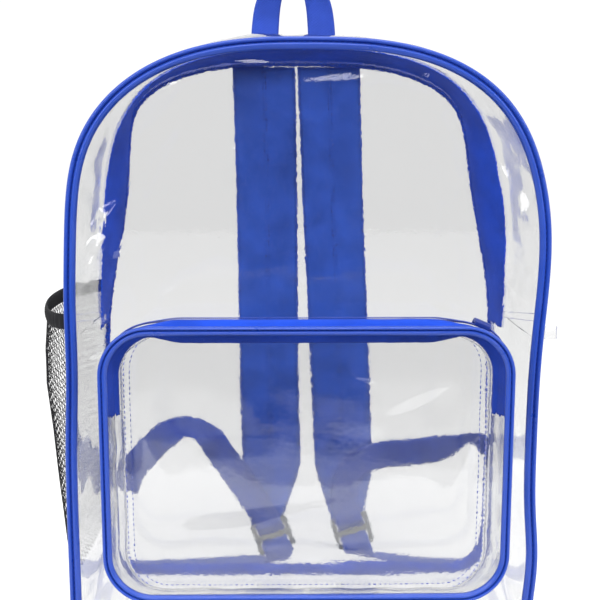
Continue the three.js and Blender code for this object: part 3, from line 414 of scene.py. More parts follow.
# Front and back panels: one flat-cut sheet each, sewn into the piping and the binding all
# round. They bulge a little, and the front one keeps soft dents where it was folded.
PANEL_ROWS = 190
PANEL_COLUMNS = 150
FRONT_SET_IN = 0.0035
BACK_SET_IN = 0.003
FRONT_TUCK = 0.0062
BACK_TUCK = 0.0046
END_SHARE = 0.02
EDGE_CROWDING = 0.6
FLAT_AT_SEAM = 0.003
DENT_NEAR_EDGE = 0.012
PANEL_WAVES = ((0.0010, 0.075, 3), (0.0005, 0.03, 8))  # height, size, seed
BACK_MARKS = 0.6
FRONT_DENTS = (  # x, z, half length, half width, turn in degrees, depth
    (-0.138, 0.295, 0.045, 0.006, 62, 0.0022),
    (-0.128, 0.315, 0.040, 0.005, 118, 0.0018),
    (-0.146, 0.268, 0.030, 0.005, 95, 0.0016),
    (0.128, 0.352, 0.050, 0.010, 125, 0.0024),
    (0.142, 0.300, 0.036, 0.006, 78, 0.0016),
    (-0.105, 0.385, 0.036, 0.006, 40, 0.0005),
    (-0.134, 0.232, 0.022, 0.004, 20, 0.0015),
    (0.020, 0.408, 0.090, 0.006, 4, 0.0004),
    (-0.150, 0.140, 0.060, 0.005, 88, 0.0012),
    (0.152, 0.150, 0.070, 0.005, 92, 0.0012),
)
# Facets left by sharp creases: x, z, half length, half width, turn in degrees, depth. A
# facet's low side is the one that its turn has on the right, and its high side the other.
FRONT_FOLDS = (
    (-0.133, 0.322, 0.020, 0.0050, 225, 0.0036),
    (-0.139, 0.303, 0.014, 0.0055, 200, 0.0030),
    (-0.126, 0.300, 0.013, 0.0040, 240, 0.0028),
    (-0.145, 0.290, 0.012, 0.0045, 190, 0.0022),
    (-0.136, 0.256, 0.012, 0.0050, 210, 0.0026),
    (-0.100, 0.358, 0.010, 0.0040, 180, 0.0016),
    (0.140, 0.386, 0.016, 0.0075, 150, 0.0034),
    (0.146, 0.366, 0.014, 0.0070, 140, 0.0032),
    (0.096, 0.258, 0.012, 0.0040, 165, 0.0020),
    (0.142, 0.262, 0.010, 0.0045, 150, 0.0022),
    (-0.046, 0.366, 0.010, 0.0030, 170, 0.0014),
    (-0.033, 0.423, 0.016, 0.0024, 178, 0.0010),
)


def in_mark(x, z, middle_x, middle_z, length, width, turn):
    """Where points lie along and across a mark, as shares of its half length and width."""
    c, s = math.cos(math.radians(turn)), math.sin(math.radians(turn))
    along = ((x - middle_x) * c + (z - middle_z) * s) / length
    return along, ((z - middle_z) * c - (x - middle_x) * s) / width


def dents_at(x, z, dents):
    """Low ridges and hollows in a sheet, each a long soft mark at its own place and turn."""
    total = np.zeros_like(x)
    for *mark, depth in dents:
        along, across = in_mark(x, z, *mark)
        total += depth * np.exp(-along**2 - across**2)
    return total


def folds_at(x, z, folds):
    """Flat facets that a crease leaves in a sheet: each rises evenly from one side to the other."""
    total = np.zeros_like(x)
    for *mark, depth in folds:
        along, across = in_mark(x, z, *mark)
        room = np.clip(1 - np.abs(along), 0, 1)
        total += depth * np.clip(np.minimum(across + room, 4 * (room - across)), 0, None) / 2
    return total


def between_edges(edge, rows, columns):
    """A grid of x and z that fills a closed outline of x and z points, row by row."""
    half = len(edge) // 2
    right, left = edge[: half + 1], np.vstack([edge[half:], edge[:1]])[::-1]
    low, high = edge[:, 1].min(), edge[:, 1].max()
    z = mix(low, high, (1 - np.cos(math.pi * np.linspace(END_SHARE, 1 - END_SHARE, rows))) / 2)
    right_x = np.interp(z, np.maximum.accumulate(right[:, 1]), right[:, 0])
    left_x = np.interp(z, np.maximum.accumulate(left[:, 1]), left[:, 0])
    even = np.linspace(0, 1, columns)[None, :]
    share = mix(even, (1 - np.cos(math.pi * even)) / 2, EDGE_CROWDING)
    x = mix(left_x[:, None], right_x[:, None], share)
    return x, np.repeat(z[:, None], columns, 1)


def inside_by(edge, x, z):
    """How far points of a panel lie inside its outline."""
    near = np.full(x.shape, 9.0)
    for edge_x, edge_z in edge[::3]:
        near = np.minimum(near, (x - edge_x) ** 2 + (z - edge_z) ** 2)
    return np.sqrt(near)


front_plane = BAG_FRONT + FRONT_SET_IN
back_plane = BAG_BACK - BACK_SET_IN
round_bag = np.arange(0, 1, 1 / 1200)


def front_surface(x, z):
    return front_plane - FRONT_CROWN * crown(x, z)


for side, plane, bulge, tuck, node in (
    (-1, front_plane, FRONT_CROWN, FRONT_TUCK, "front_panel"),
    (1, back_plane, BACK_CROWN, BACK_TUCK, "back_panel"),
):
    edge = bag_at(round_bag, plane, tuck)[:, [0, 2]]
    x, z = between_edges(edge, PANEL_ROWS, PANEL_COLUMNS)
    points = np.stack([x, np.full_like(x, plane), z], -1)
    inner = ease((inside_by(edge, x, z) - FLAT_AT_SEAM) / DENT_NEAR_EDGE)
    waves = sum(high * noise_at(points, size, seed + side) for high, size, seed in PANEL_WAVES)
    if side < 0:
        marks = dents_at(x, z, FRONT_DENTS) + folds_at(x, z, FRONT_FOLDS)
    else:
        marks = BACK_MARKS * dents_at(-x, z, FRONT_DENTS)
    points[..., 1] += side * bulge * crown(x, z) + inner * (waves + side * marks)
    clear_wall(node.replace("panel", "sheet"), points, np.stack([x, z], -1), node, flip=side > 0)

# Side walls: clear strips sewn between the front piping and the back binding. The lower one
# is a U that goes under the bag, the upper ones are in front of and behind the zip.
WALL_INSET = 0.004
WALL_FROM_FRONT = 0.0055
WALL_FROM_BACK = 0.0045
JUNCTION_HEIGHT = 0.236
JUNCTION_GAP = 0.00002
ZIP_MIDDLE = BAG_BACK - 0.026
ZIP_SLOT = 0.024
ZIP_LAP = 0.005
zip_front = ZIP_MIDDLE - ZIP_SLOT / 2
zip_back = ZIP_MIDDLE + ZIP_SLOT / 2
wall_front = BAG_FRONT + WALL_FROM_FRONT
wall_back = BAG_BACK - WALL_FROM_BACK
junction = share_at_height(JUNCTION_HEIGHT)
WALL_ROWS = 26
WALL_COLUMNS = 380
LOWER_ROWS = 34
RIPPLE_SIZE = 0.035
FINE_SIZE = 0.014
FINE_SHARE = 0.5
CREASE_SIZE = 0.05
CREASE_SHARE = 0.8
RIPPLE_STRETCH = 0.45
FLAT_BY_SEAM = 0.003
FULL_FROM_SEAM = 0.012
UPPER_RIPPLE = 0.0016
BACK_RIPPLE = 0.0004
LOWER_RIPPLE = 0.0007


def wall_grid(start, end, front, back, rows, columns, seed, ripple):
    """A strip of side wall with long ripples, deepest between its seams."""
    share, y = np.meshgrid(np.linspace(start, end, columns), np.linspace(front, back, rows))
    points = bag_at(share, y, WALL_INSET)
    (x, z), (out_x, out_z) = on_outline(BAG, share)
    from_seam = (y - front) * (back - y) / (back - front)
    middle = ease((from_seam - FLAT_BY_SEAM) / FULL_FROM_SEAM)
    flat = np.stack([share * BAG["length"], y * RIPPLE_STRETCH, 0 * y], -1)
    lift = noise_at(flat, RIPPLE_SIZE, seed) + FINE_SHARE * noise_at(flat, FINE_SIZE, seed + 1)
    lift = lift - CREASE_SHARE * creases_at(flat, CREASE_SIZE, seed + 2)
    move = ripple * lift * middle
    points[..., 0] += out_x * move
    points[..., 2] += out_z * move
    return points, np.stack([share * BAG["length"], y], -1), middle


upper_ends = (junction + JUNCTION_GAP / 2, 1 - junction - JUNCTION_GAP / 2)
points, uv, _ = wall_grid(
    *upper_ends, wall_front, zip_front, WALL_ROWS, WALL_COLUMNS, 11, UPPER_RIPPLE)
clear_wall("upper_side_front", points, uv, "upper_wall_front", rim=False)
points, uv, _ = wall_grid(*upper_ends, zip_back, wall_back, 5, WALL_COLUMNS, 15, BACK_RIPPLE)
clear_wall("upper_side_back", points, uv, "upper_wall_back")

REST_FROM = 0.02
points, uv, middle = wall_grid(
    -junction + JUNCTION_GAP / 2, junction - JUNCTION_GAP / 2, wall_front, wall_back,
    LOWER_ROWS, WALL_COLUMNS, 19, LOWER_RIPPLE)
resting = np.clip(middle * 2.2, 0, 1) * (1 - ease(points[..., 2] / REST_FROM))
points[..., 2] = np.maximum(mix(points[..., 2], VINYL_WALL / 2, resting), VINYL_WALL / 2)
clear_wall("lower_side", points, uv, "lower_wall", rim=False)

# Front piping: glossy blue plastic, a round bead over a cord with a rolled flange inside it.
# A line of stitches runs in the groove between the bead and the flange.
PIPING_WIDTH = 0.008
PIPING_DEPTH = 0.007
PIPING_BLUE = (0.020, 0.074, 0.47)
PIPING_PROFILE = (  # shares: in from the outer edge, back from the front face
    (0.0, 0.42), (0.02, 0.22), (0.1, 0.06), (0.2, 0.0), (0.29, 0.05), (0.35, 0.2),
    (0.38, 0.36), (0.42, 0.42), (0.46, 0.34), (0.5, 0.2), (0.58, 0.1), (0.68, 0.07),
    (0.79, 0.14), (0.88, 0.3), (1.0, 0.36), (1.0, 0.66), (0.86, 0.76), (0.66, 0.9),
    (0.4, 1.0), (0.15, 0.96),
    (0.03, 0.8), (0.0, 0.6),
)
HOOP_STEPS = 520
NARROW_FROM = 0.03
NARROW_RUN = 0.12
GROOVE = 0.42
GROOVE_FLOOR = 0.4
STITCH_LENGTH = 0.0026
STITCH_STEP = 0.0038
STITCH_WIDE = 0.0006
THREAD_BLUE = (0.004, 0.012, 0.14)
MOTTLE_SCALE = 60
WRINKLE_SCALE = 330
WRINKLE_HEIGHT = 0.0004
TWIST_SCALE = 2500
TWIST_HEIGHT = 0.0002


def gloss_plastic(name, colour, dark, roughness):
    """Soft coated plastic: nearly even, with faint mottling, scuffs and fine wrinkles."""
    material, tree, base = new_material(name, colour, roughness)
    mottle = noise_on(tree, MOTTLE_SCALE, 4)
    tint(tree, base, mottle, dark, colour)
    scuff = add_node(tree, "ShaderNodeMapRange", {
        "Value": mottle, "From Min": 0.3, "From Max": 0.7,
        "To Min": roughness - 0.06, "To Max": roughness + 0.1})
    tree.links.new(scuff.outputs["Result"], base.inputs["Roughness"])
    add_bump(tree, base, noise_on(tree, WRINKLE_SCALE, 3), WRINKLE_HEIGHT, 0.5)
    return material


piping_plastic = gloss_plastic("piping_plastic", PIPING_BLUE, (0.014, 0.058, 0.40), 0.32)


def cloth_thread(name, colour):
    """Twisted sewing thread with a painted highlight: a little lighter where its bump rises, as if
    the fibres caught the light.
    """
    material, tree, base = new_material(name, colour, 0.6)
    twist_and_highlight = noise_on(tree, TWIST_SCALE, 1)
    # Painted highlight: the colour goes lighter where the bump's noise is high.
    tint(tree, base, twist_and_highlight, colour, tuple(min(c * 1.7 + 0.01, 1) for c in colour))
    add_bump(tree, base, twist_and_highlight, TWIST_HEIGHT, 0.5)
    return material


blue_thread = cloth_thread("blue_thread", THREAD_BLUE)


def lozenge(name, length, wide, high, rings=4, sides=6):
    """A small rounded bar along X, the form of one stitch or one zip tooth."""
    turn = np.linspace(0, math.pi, rings + 2)[1:-1]
    around = np.arange(sides) * 2 * math.pi / sides
    x = -np.cos(turn)[:, None] * length / 2 + 0 * around[None, :]
    swell = np.sin(turn)[:, None] ** 0.5
    points = np.stack([x, swell * np.cos(around) * wide / 2, swell * np.sin(around) * high / 2], -1)
    piece = grid_piece(name, points, close_u=True, caps=True)
    return piece


def start_nodes(name, *inputs):
    """A node tree that takes a mesh and its named inputs, and gives a mesh."""
    tree = bpy.data.node_groups.new(name, "GeometryNodeTree")
    for label, kind in (("Geometry", "Geometry"), *inputs):
        tree.interface.new_socket(label, in_out="INPUT", socket_type="NodeSocket" + kind)
    tree.interface.new_socket("Geometry", in_out="OUTPUT", socket_type="NodeSocketGeometry")
    return tree, add_node(tree, "NodeGroupInput").outputs


def run_nodes(piece, tree, **values):
    """Turns a piece into the plain mesh that a tree makes of it with these inputs."""
    maker = piece.modifiers.new(tree.name, "NODES")
    maker.node_group = tree
    for item in tree.interface.items_tree:
        if item.name in values:
            maker[item.identifier] = values[item.name]
    bpy.context.view_layer.update()
    ready = piece.evaluated_get(bpy.context.evaluated_depsgraph_get())
    made = bpy.data.meshes.new_from_object(ready)
    piece.modifiers.clear()
    piece.data = made
    return piece


def repeat_along(name, line, ups, step, part, material):
    """Copies of a small part at even steps along a line, X along it and Z along ups."""
    mesh = bpy.data.meshes.new(name)
    edges = [(i, i + 1) for i in range(len(line) - 1)]
    mesh.from_pydata([tuple(p) for p in line], edges, [])
    up = mesh.attributes.new("up", "FLOAT_VECTOR", "POINT")
    up.data.foreach_set("vector", np.asarray(ups, np.float32).ravel())
    piece = add_piece(name, mesh)
    tree, given = start_nodes(name, ("Step", "Float"), ("Part", "Object"))
    curve = add_node(tree, "GeometryNodeMeshToCurve", {"Mesh": given["Geometry"]})
    spots = add_node(tree, "GeometryNodeCurveToPoints", {
        "Curve": curve.outputs["Curve"], "Length": given["Step"]}, mode="LENGTH")
    up_now = add_node(tree, "GeometryNodeInputNamedAttribute", {"Name": "up"},
                      data_type="FLOAT_VECTOR")
    upright = add_node(tree, "FunctionNodeAlignRotationToVector", {
        "Vector": spots.outputs["Tangent"]}, axis="X", pivot_axis="AUTO")
    turned = add_node(tree, "FunctionNodeAlignRotationToVector", {
        "Rotation": upright.outputs["Rotation"], "Vector": up_now.outputs["Attribute"]},
        axis="Z", pivot_axis="X")
    thing = add_node(tree, "GeometryNodeObjectInfo", {"Object": given["Part"]})
    copies = add_node(tree, "GeometryNodeInstanceOnPoints", {
        "Points": spots.outputs["Points"], "Instance": thing.outputs["Geometry"],
        "Rotation": turned.outputs["Rotation"]})
    real = add_node(tree, "GeometryNodeRealizeInstances", {
        "Geometry": copies.outputs["Instances"]})
    paint = add_node(tree, "GeometryNodeSetMaterial", {
        "Geometry": real.outputs["Geometry"], "Material": material})
    end = add_node(tree, "NodeGroupOutput", {"Geometry": paint.outputs["Geometry"]})
    end.is_active_output = True
    return run_nodes(piece, tree, Step=step, Part=part)


def sewn(line, face, thread, name="row"):
    """A row of stitches along a line on a surface that faces one way."""
    return repeat_along(
        name, line, np.tile(face, (len(line), 1)), STITCH_STEP, stitch, thread)


def join_pieces(name, pieces):
    """Several loose pieces of one kind joined into one mesh."""
    bm = bmesh.new()
    for piece in pieces:
        bm.from_mesh(piece.data)
        bpy.data.objects.remove(piece)
    mesh = bpy.data.meshes.new(name)
    bm.to_mesh(mesh)
    bm.free()
    return add_piece(name, mesh)


def hoop(name, profile, width, front, depth, top_width):
    """A trimming all round the bag, its section given as shares of its width and depth."""
    share = np.linspace(0, 1, HOOP_STEPS, endpoint=False)[:, None]
    across, back = np.array(profile).T
    high = ease((on_outline(BAG, share)[0][1] / BAG_TOP - NARROW_FROM) / NARROW_RUN)
    points = bag_at(share, front + back * depth, across * mix(width, top_width, high))
    along = np.linspace(0, BAG["length"], HOOP_STEPS + 1)
    girth = np.append(across, across[0]) * width
    uv = np.stack(np.broadcast_arrays(girth[None, :], along[:, None]), -1)
    return grid_piece(name, points, uv, close_u=True, close_v=True)


piping = hoop("front_piping_cover", PIPING_PROFILE, PIPING_WIDTH, BAG_FRONT, PIPING_DEPTH,
              PIPING_WIDTH)
dress(piping, piping_plastic, "piping", "front_piping")

stitch = lozenge("stitch_form", STITCH_LENGTH, STITCH_WIDE, 0.0005)
ring = np.append(np.arange(0, 1, 1 / 900), 1)
seam = bag_at(ring, BAG_FRONT + GROOVE_FLOOR * PIPING_DEPTH, GROOVE * PIPING_WIDTH)
dress(sewn(seam, (0, -1, 0), blue_thread, "piping_stitches"), blue_thread, "piping")

# Side seams: the upper and lower strips are lapped and sewn with two rows of thread, which
# run across each side wall from the piping to the zip, a little higher in front.
SEAM_BLUE = (0.030, 0.060, 0.40)
LAP_FRONT = 0.253
LAP_BACK = 0.2395
LAP_ROWS = 0.0052
LAP_START = 0.004
seam_thread = cloth_thread("seam_thread", SEAM_BLUE)
across = np.linspace(0, 1, 60)
lap_y = mix(wall_front + LAP_START, zip_front - ZIP_LAP, across)
rows = []
for side in (-1, 1):
    for below in (0, LAP_ROWS):
        lap_share = share_at_height(mix(LAP_FRONT, LAP_BACK, across) - below)
        line = bag_at(side * lap_share, lap_y, WALL_INSET - VINYL_WALL)
        rows.append(sewn(line, (side, 0, 0), seam_thread))
dress(join_pieces("side_seam_stitches", rows), seam_thread, "piping")

# Back binding: a woven blue tape folded over the seam between the side walls and the back
# panel, stitched through near its inner edge. It is pulled narrower over the rounded top.
BINDING_WIDTH = 0.010
BINDING_TOP = 0.006
BINDING_DEPTH = 0.006
TAPE_BLUE = (0.008, 0.050, 0.44)
BINDING_PROFILE = (
    (0.0, 0.3), (0.03, 0.1), (0.12, 0.0), (0.45, 0.03), (0.85, 0.12), (0.97, 0.24),
    (1.0, 0.4), (1.0, 0.6), (0.97, 0.76), (0.85, 0.88), (0.45, 0.97), (0.12, 1.0),
    (0.03, 0.9), (0.0, 0.7),
)
BINDING_SEAM = 0.78
BINDING_THREAD = 0.0001
WEAR_SCALE = 45
# Ends of the tape's tone: painted shade in the weave's hollows and a painted highlight on its
# ridges, both with random wear.
HOLLOW_SHADE_AND_WEAR = 0.62
RIDGE_HIGHLIGHT_AND_WEAR = 1.35


def woven(name, colour, across, along, depth, roughness=0.85):
    """Woven tape by its own map: ribs across and threads along, in metres of cloth. Its colour is
    painted shade in the weave's hollows and a painted highlight on its ridges, with random wear.
    """
    material, tree, base = new_material(name, colour, roughness)
    cloth = add_node(tree, "ShaderNodeUVMap", uv_map="cloth").outputs["UV"]
    parts = add_node(tree, "ShaderNodeSeparateXYZ", {"Vector": cloth})
    waves = []
    for axis, pitch in (("X", across), ("Y", along)):
        angle = work_out(tree, "MULTIPLY", parts.outputs[axis], 2 * math.pi / pitch)
        waves.append(work_out(tree, "SINE", angle))
    lift = work_out(tree, "MULTIPLY_ADD", work_out(tree, "MULTIPLY", *waves), 0.5, 0.5)
    # Painted shade and highlight: the tone follows the weave's bump height, darker where it is low
    # and lighter where it is high, plus a random wear noise.
    tone = work_out(tree, "MULTIPLY_ADD", lift, 0.45, noise_on(tree, WEAR_SCALE, 5))
    spread = add_node(tree, "ShaderNodeMapRange", {
        "Value": tone, "From Min": 0.35, "From Max": 1.1})
    dark = tuple(c * HOLLOW_SHADE_AND_WEAR for c in colour)
    light = tuple(min(c * RIDGE_HIGHLIGHT_AND_WEAR, 1) for c in colour)
    tint(tree, base, spread.outputs["Result"], dark, light)
    base.inputs["Sheen Weight"].default_value = 0.04
    base.inputs["Specular IOR Level"].default_value = 0.2
    add_bump(tree, base, lift, depth, 0.8)
    return material


tape_cloth = woven("tape_cloth", TAPE_BLUE, 0.0011, 0.0008, 0.0002)
binding = hoop("back_binding_tape", BINDING_PROFILE, BINDING_WIDTH,
               BAG_BACK - BINDING_DEPTH, BINDING_DEPTH, BINDING_TOP)
dress(binding, tape_cloth, "binding_tape", "back_binding")
rows = []
for face in (-1, 1):
    seam_y = BAG_BACK - BINDING_DEPTH * (0.5 - 0.4 * face) + face * BINDING_THREAD
    seam = bag_at(ring, seam_y, BINDING_SEAM * BINDING_TOP)
    rows.append(sewn(seam, (0, face, 0), blue_thread))
dress(join_pieces("binding_stitches", rows), blue_thread, "binding_tape")

# Main zip: a ribbed tape behind the slot between the upper walls, from junction to junction,
# with a nylon coil on it. The cut ends of the tape hang ragged below the junctions.
ZIP_TAPE = 0.0008
ZIP_TAIL = 0.011
TAPE_INSET = 0.0052
COIL_INSET = 0.0037
TOOTH_STEP = 0.0013
TOOTH_ASIDE = 0.0011
COIL_BLUE = (0.025, 0.065, 0.42)
ZIP_BLUE = (0.010, 0.062, 0.53)


def ragged(count, depth, seed):
    """Lengths of frayed thread ends along a cut edge, from 0 to depth."""
    picks = np.random.default_rng(seed).random(count)
    return depth * (0.5 * picks + 0.5 * np.abs(np.sin(np.arange(count) * 1.3)))


tail = ZIP_TAIL / BAG["length"]
TAPE_ROWS = 30
across = np.linspace(zip_front - ZIP_LAP, zip_back + ZIP_LAP, TAPE_ROWS)[:, None]
fray = ragged(TAPE_ROWS, 0.003, 5) / BAG["length"]
share = mix(junction - tail + fray[:, None], 1 - junction + tail - fray[::-1, None],
            np.linspace(0, 1, 420)[None, :])
points = bag_at(share, across, TAPE_INSET)
uv = np.stack([across + 0 * share, share * BAG["length"]], -1)
kink = 0.0006 * noise_at(np.stack([share * BAG["length"], across + 0 * share, 0 * share], -1),
                         0.02, 31)
points[..., 0] += on_outline(BAG, share)[1][0] * kink
tape = grid_piece("main_zip_cloth", points, uv)
zip_cloth = woven("zip_cloth", ZIP_BLUE, 0.0012, 0.0016, 0.0003)
dress(thicken(tape, ZIP_TAPE), zip_cloth, "zip_tape", "main_zip_tape")

coil_nylon = gloss_plastic("coil_nylon", COIL_BLUE, (0.018, 0.045, 0.30), 0.42)
tooth = lozenge("tooth_form", 0.0011, 0.0034, 0.0013, rings=3, sides=8)


def zip_teeth(name, node, outline, share, line_at):
    """Two rows of teeth that mesh along a zip, to both sides of its middle line."""
    out_x, out_z = on_outline(outline, share)[1]
    ups = np.stack([out_x, 0 * out_x, out_z], -1)
    rows = []
    for half in (-1, 1):
        line = line_at(share + half * 0.25 * TOOTH_STEP / outline["length"], half * TOOTH_ASIDE)
        rows.append(repeat_along("row", line, ups, TOOTH_STEP, tooth, coil_nylon))
    dress(join_pieces(name, rows), coil_nylon, "zip_coil", node)


coil_share = np.linspace(junction + 0.0003, 1 - junction - 0.0003, 700)
zip_teeth("main_zip_teeth", "main_zip_coil", BAG, coil_share,
          lambda at, aside: bag_at(at, ZIP_MIDDLE + aside, COIL_INSET))

# Sliders and pulls: small die-cast parts, painted blue, with their edges rounded.
SLIDER_BLUE = (0.014, 0.040, 0.30)
slider_paint = gloss_plastic("slider_paint", SLIDER_BLUE, (0.008, 0.022, 0.16), 0.35)


def merged_copy(node, name):
    """A CAD node's mesh as a new piece, its loose triangles joined and flat faces cleaned."""
    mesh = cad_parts[node].data.copy()
    mesh.name = name
    bm = bmesh.new()
    bm.from_mesh(mesh)
    bmesh.ops.remove_doubles(bm, verts=bm.verts, dist=1e-6)
    bmesh.ops.dissolve_limit(bm, angle_limit=math.radians(1), verts=bm.verts, edges=bm.edges)
    bm.to_mesh(mesh)
    bm.free()
    return add_piece(name, mesh)


def softened(node, name, width, segments=3):
    """A copy of a hard part with its sharp edges rounded."""
    piece = merged_copy(node, name)
    edges = piece.modifiers.new("edges", "BEVEL")
    edges.width = width
    edges.segments = segments
    edges.limit_method = "ANGLE"
    edges.angle_limit = math.radians(35)
    edges.harden_normals = True
    piece.data.shade_smooth()
    return piece


for side in ("left", "right"):
    body = softened(f"main_zip_slider_{side}", f"zip_slider_{side}", 0.0006)
    dress(body, slider_paint, "zip_slider", f"main_zip_slider_{side}")
    pull = softened(f"main_zip_pull_{side}", f"zip_pull_{side}", 0.0004)
    dress(pull, slider_paint, "zip_slider", f"main_zip_pull_{side}")

# Front pocket: a clear face in a piped hoop, with side walls that sag in towards a seam on
# the front panel. Its top opens by a zip whose tape lies under the upper wall.
pocket_low, pocket_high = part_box("pocket_piping")
POCKET_X = (pocket_low.x + pocket_high.x) / 2
POCKET_HALF = (pocket_high.x - pocket_low.x) / 2
POCKET_LOW = pocket_low.z
POCKET_HIGH = pocket_high.z
POCKET_CORNER = 0.033
POCKET_PIPING = 0.006
POCKET_CROWN = 0.004
POCKET_FACE = (pocket_low.y + pocket_high.y) / 2
BASE_WIDE = 259 / 270
BASE_LOW = 0.051
BASE_HIGH = 0.251
POCKET_SAG = 0.007
SIDE_HANG = 0.45
ZIP_END = 0.196
POCKET_TAPE = 0.022
COIL_DEPTH = 0.22
POCKET_HANG = np.array([  # share of the way to the base, out as a share of the sag
    (0, 0), (0.11, 0.4), (0.22, 0.55), (0.31, 0.3), (0.4, -0.1), (0.52, -0.62), (0.64, -0.9),
    (0.73, -0.8), (0.82, -0.5), (0.91, -0.2), (1, 0)])
POCKET_MIDDLE_HANG = np.array([  # the same over the middle, clear of the slider's corner
    (0, 0.1), (0.08, 0.9), (0.16, 1.15), (0.25, 0.75), (0.35, -0.3), (0.45, -1.0), (0.52, -1.25),
    (0.64, -1.1), (0.8, -0.5), (0.91, -0.2), (1, 0)])
SLIDER_CORNER = 0.112
CORNER_RUN = 0.03
POCKET_SEAMS = (0.001, 0.005)
POCKET_SEAM_LIFT = 0.0007
POCKET_GAP = 0.0003
POCKET_TUCK = 0.8


def pocket_half():
    turn = np.linspace(0, math.pi / 2, 60)
    straight = POCKET_HALF - POCKET_CORNER
    low = np.stack([straight + POCKET_CORNER * np.sin(turn),
                    POCKET_LOW + POCKET_CORNER * (1 - np.cos(turn))], 1)
    high = np.stack([straight + POCKET_CORNER * np.cos(turn),
                     POCKET_HIGH - POCKET_CORNER * (1 - np.sin(turn))], 1)
    return np.vstack([[(0, POCKET_LOW)], low, high, [(0, POCKET_HIGH)]])


POCKET = outline_from(pocket_half())
half_heights = POCKET["points"][: OUTLINE_STEPS // 2, 1]
pocket_zip_end = np.interp(ZIP_END, half_heights, np.arange(len(half_heights))) / OUTLINE_STEPS


def pocket_at(share, depth, inset, extra=0.0):
    """A point of the pocket's wall: share round it, depth 0 at the face to 1 at the base."""
    share, depth, inset, extra = np.broadcast_arrays(share, depth, inset, extra)
    (x, z), (out_x, out_z) = on_outline(POCKET, share)
    up = np.clip(out_z, 0, 1)
    hang = mix(np.interp(depth, *POCKET_HANG.T), np.interp(depth, *POCKET_MIDDLE_HANG.T),
               up * ease((SLIDER_CORNER - np.abs(x)) / CORNER_RUN))
    moved = POCKET_SAG * hang * np.where(hang > 0, up, mix(SIDE_HANG, 1, up)) - inset + extra
    base_z = mix(BASE_LOW, BASE_HIGH, (z - POCKET_LOW) / (POCKET_HIGH - POCKET_LOW))
    new_x = POCKET_X + x * mix(1, BASE_WIDE, depth) + out_x * moved
    new_z = mix(z, base_z, depth) + out_z * moved
    front = POCKET_FACE + POCKET_PIPING / 2 + POCKET_GAP
    rear = front_surface(new_x, new_z) - VINYL_WALL / 2 - POCKET_GAP
    return np.stack([new_x, mix(front, rear, depth), new_z], -1)


def pocket_rim(share, inset):
    """Places round the pocket's face, moved in from its outline."""
    (x, z), (out_x, out_z) = on_outline(POCKET, share)
    return POCKET_X + x - out_x * inset, z - out_z * inset


pocket_room = front_plane - POCKET_FACE - POCKET_PIPING / 2 - POCKET_GAP
edge = np.stack(pocket_rim(np.arange(0, 1, 1 / 800), POCKET_PIPING * POCKET_TUCK), 1)
x, z = between_edges(edge, 80, 100)
across = np.clip(np.abs(x - POCKET_X) / POCKET_HALF, 0, 1)
up = np.clip(np.abs(z - (POCKET_LOW + POCKET_HIGH) / 2) * 2 / (POCKET_HIGH - POCKET_LOW), 0, 1)
points = np.stack([x, np.full_like(x, POCKET_FACE), z], -1)
inner = ease((1 - np.maximum(across, up)) / 0.15)
POCKET_DENTS = (
    (0.075, 0.212, 0.030, 0.007, 25, 0.0020),
    (0.040, 0.224, 0.022, 0.005, -20, 0.0015),
    (0.105, 0.170, 0.045, 0.008, 80, 0.0016),
    (-0.100, 0.190, 0.035, 0.006, 100, 0.0014),
    (-0.040, 0.120, 0.060, 0.008, 10, 0.0012),
    (0.030, 0.100, 0.070, 0.007, -12, 0.0012),
)
points[..., 1] -= POCKET_CROWN * (1 - across**CROWN_POWER) * (1 - up**CROWN_POWER)
points[..., 1] += inner * (0.0008 * noise_at(points, 0.05, 41) - dents_at(x, z, POCKET_DENTS))
clear_wall("pocket_sheet", points, np.stack([x, z], -1), "pocket_front")

share = np.linspace(0, 1, 420, endpoint=False)[:, None]
profile_across, profile_back = np.array(PIPING_PROFILE).T
x, z = pocket_rim(share, profile_across * POCKET_PIPING)
points = np.stack(np.broadcast_arrays(
    x, POCKET_FACE + (profile_back - 0.5) * POCKET_PIPING, z), -1)
hoop_piece = grid_piece("pocket_piping_cover", points, close_u=True, close_v=True)
dress(hoop_piece, piping_plastic, "piping", "pocket_piping")
x, z = pocket_rim(ring, GROOVE * POCKET_PIPING)
seam_y = np.full_like(x, POCKET_FACE + (GROOVE_FLOOR - 0.5) * POCKET_PIPING)
seam = np.stack([x, seam_y, z], 1)
dress(sewn(seam, (0, -1, 0), blue_thread, "pocket_stitches"), blue_thread, "piping")


def pocket_wall(name, start, end, near, far, inset, rows, columns, seed, ripple, ends=0.0):
    share, depth = np.meshgrid(np.linspace(0, 1, columns), np.linspace(near, far, rows))
    share = mix(start - ends, end + ends, share)
    flat = np.stack([share * POCKET["length"], depth * pocket_room * 0.5, 0 * share], -1)
    middle = np.sin(math.pi * np.linspace(0, 1, rows))[:, None] ** 0.6
    lift = ripple * middle * (noise_at(flat, 0.02, seed) - 0.7 * creases_at(flat, 0.04, seed + 1))
    points = pocket_at(share, depth, inset, lift)
    uv = np.stack([depth * pocket_room, share * POCKET["length"]], -1)
    return grid_piece(name, points, uv)


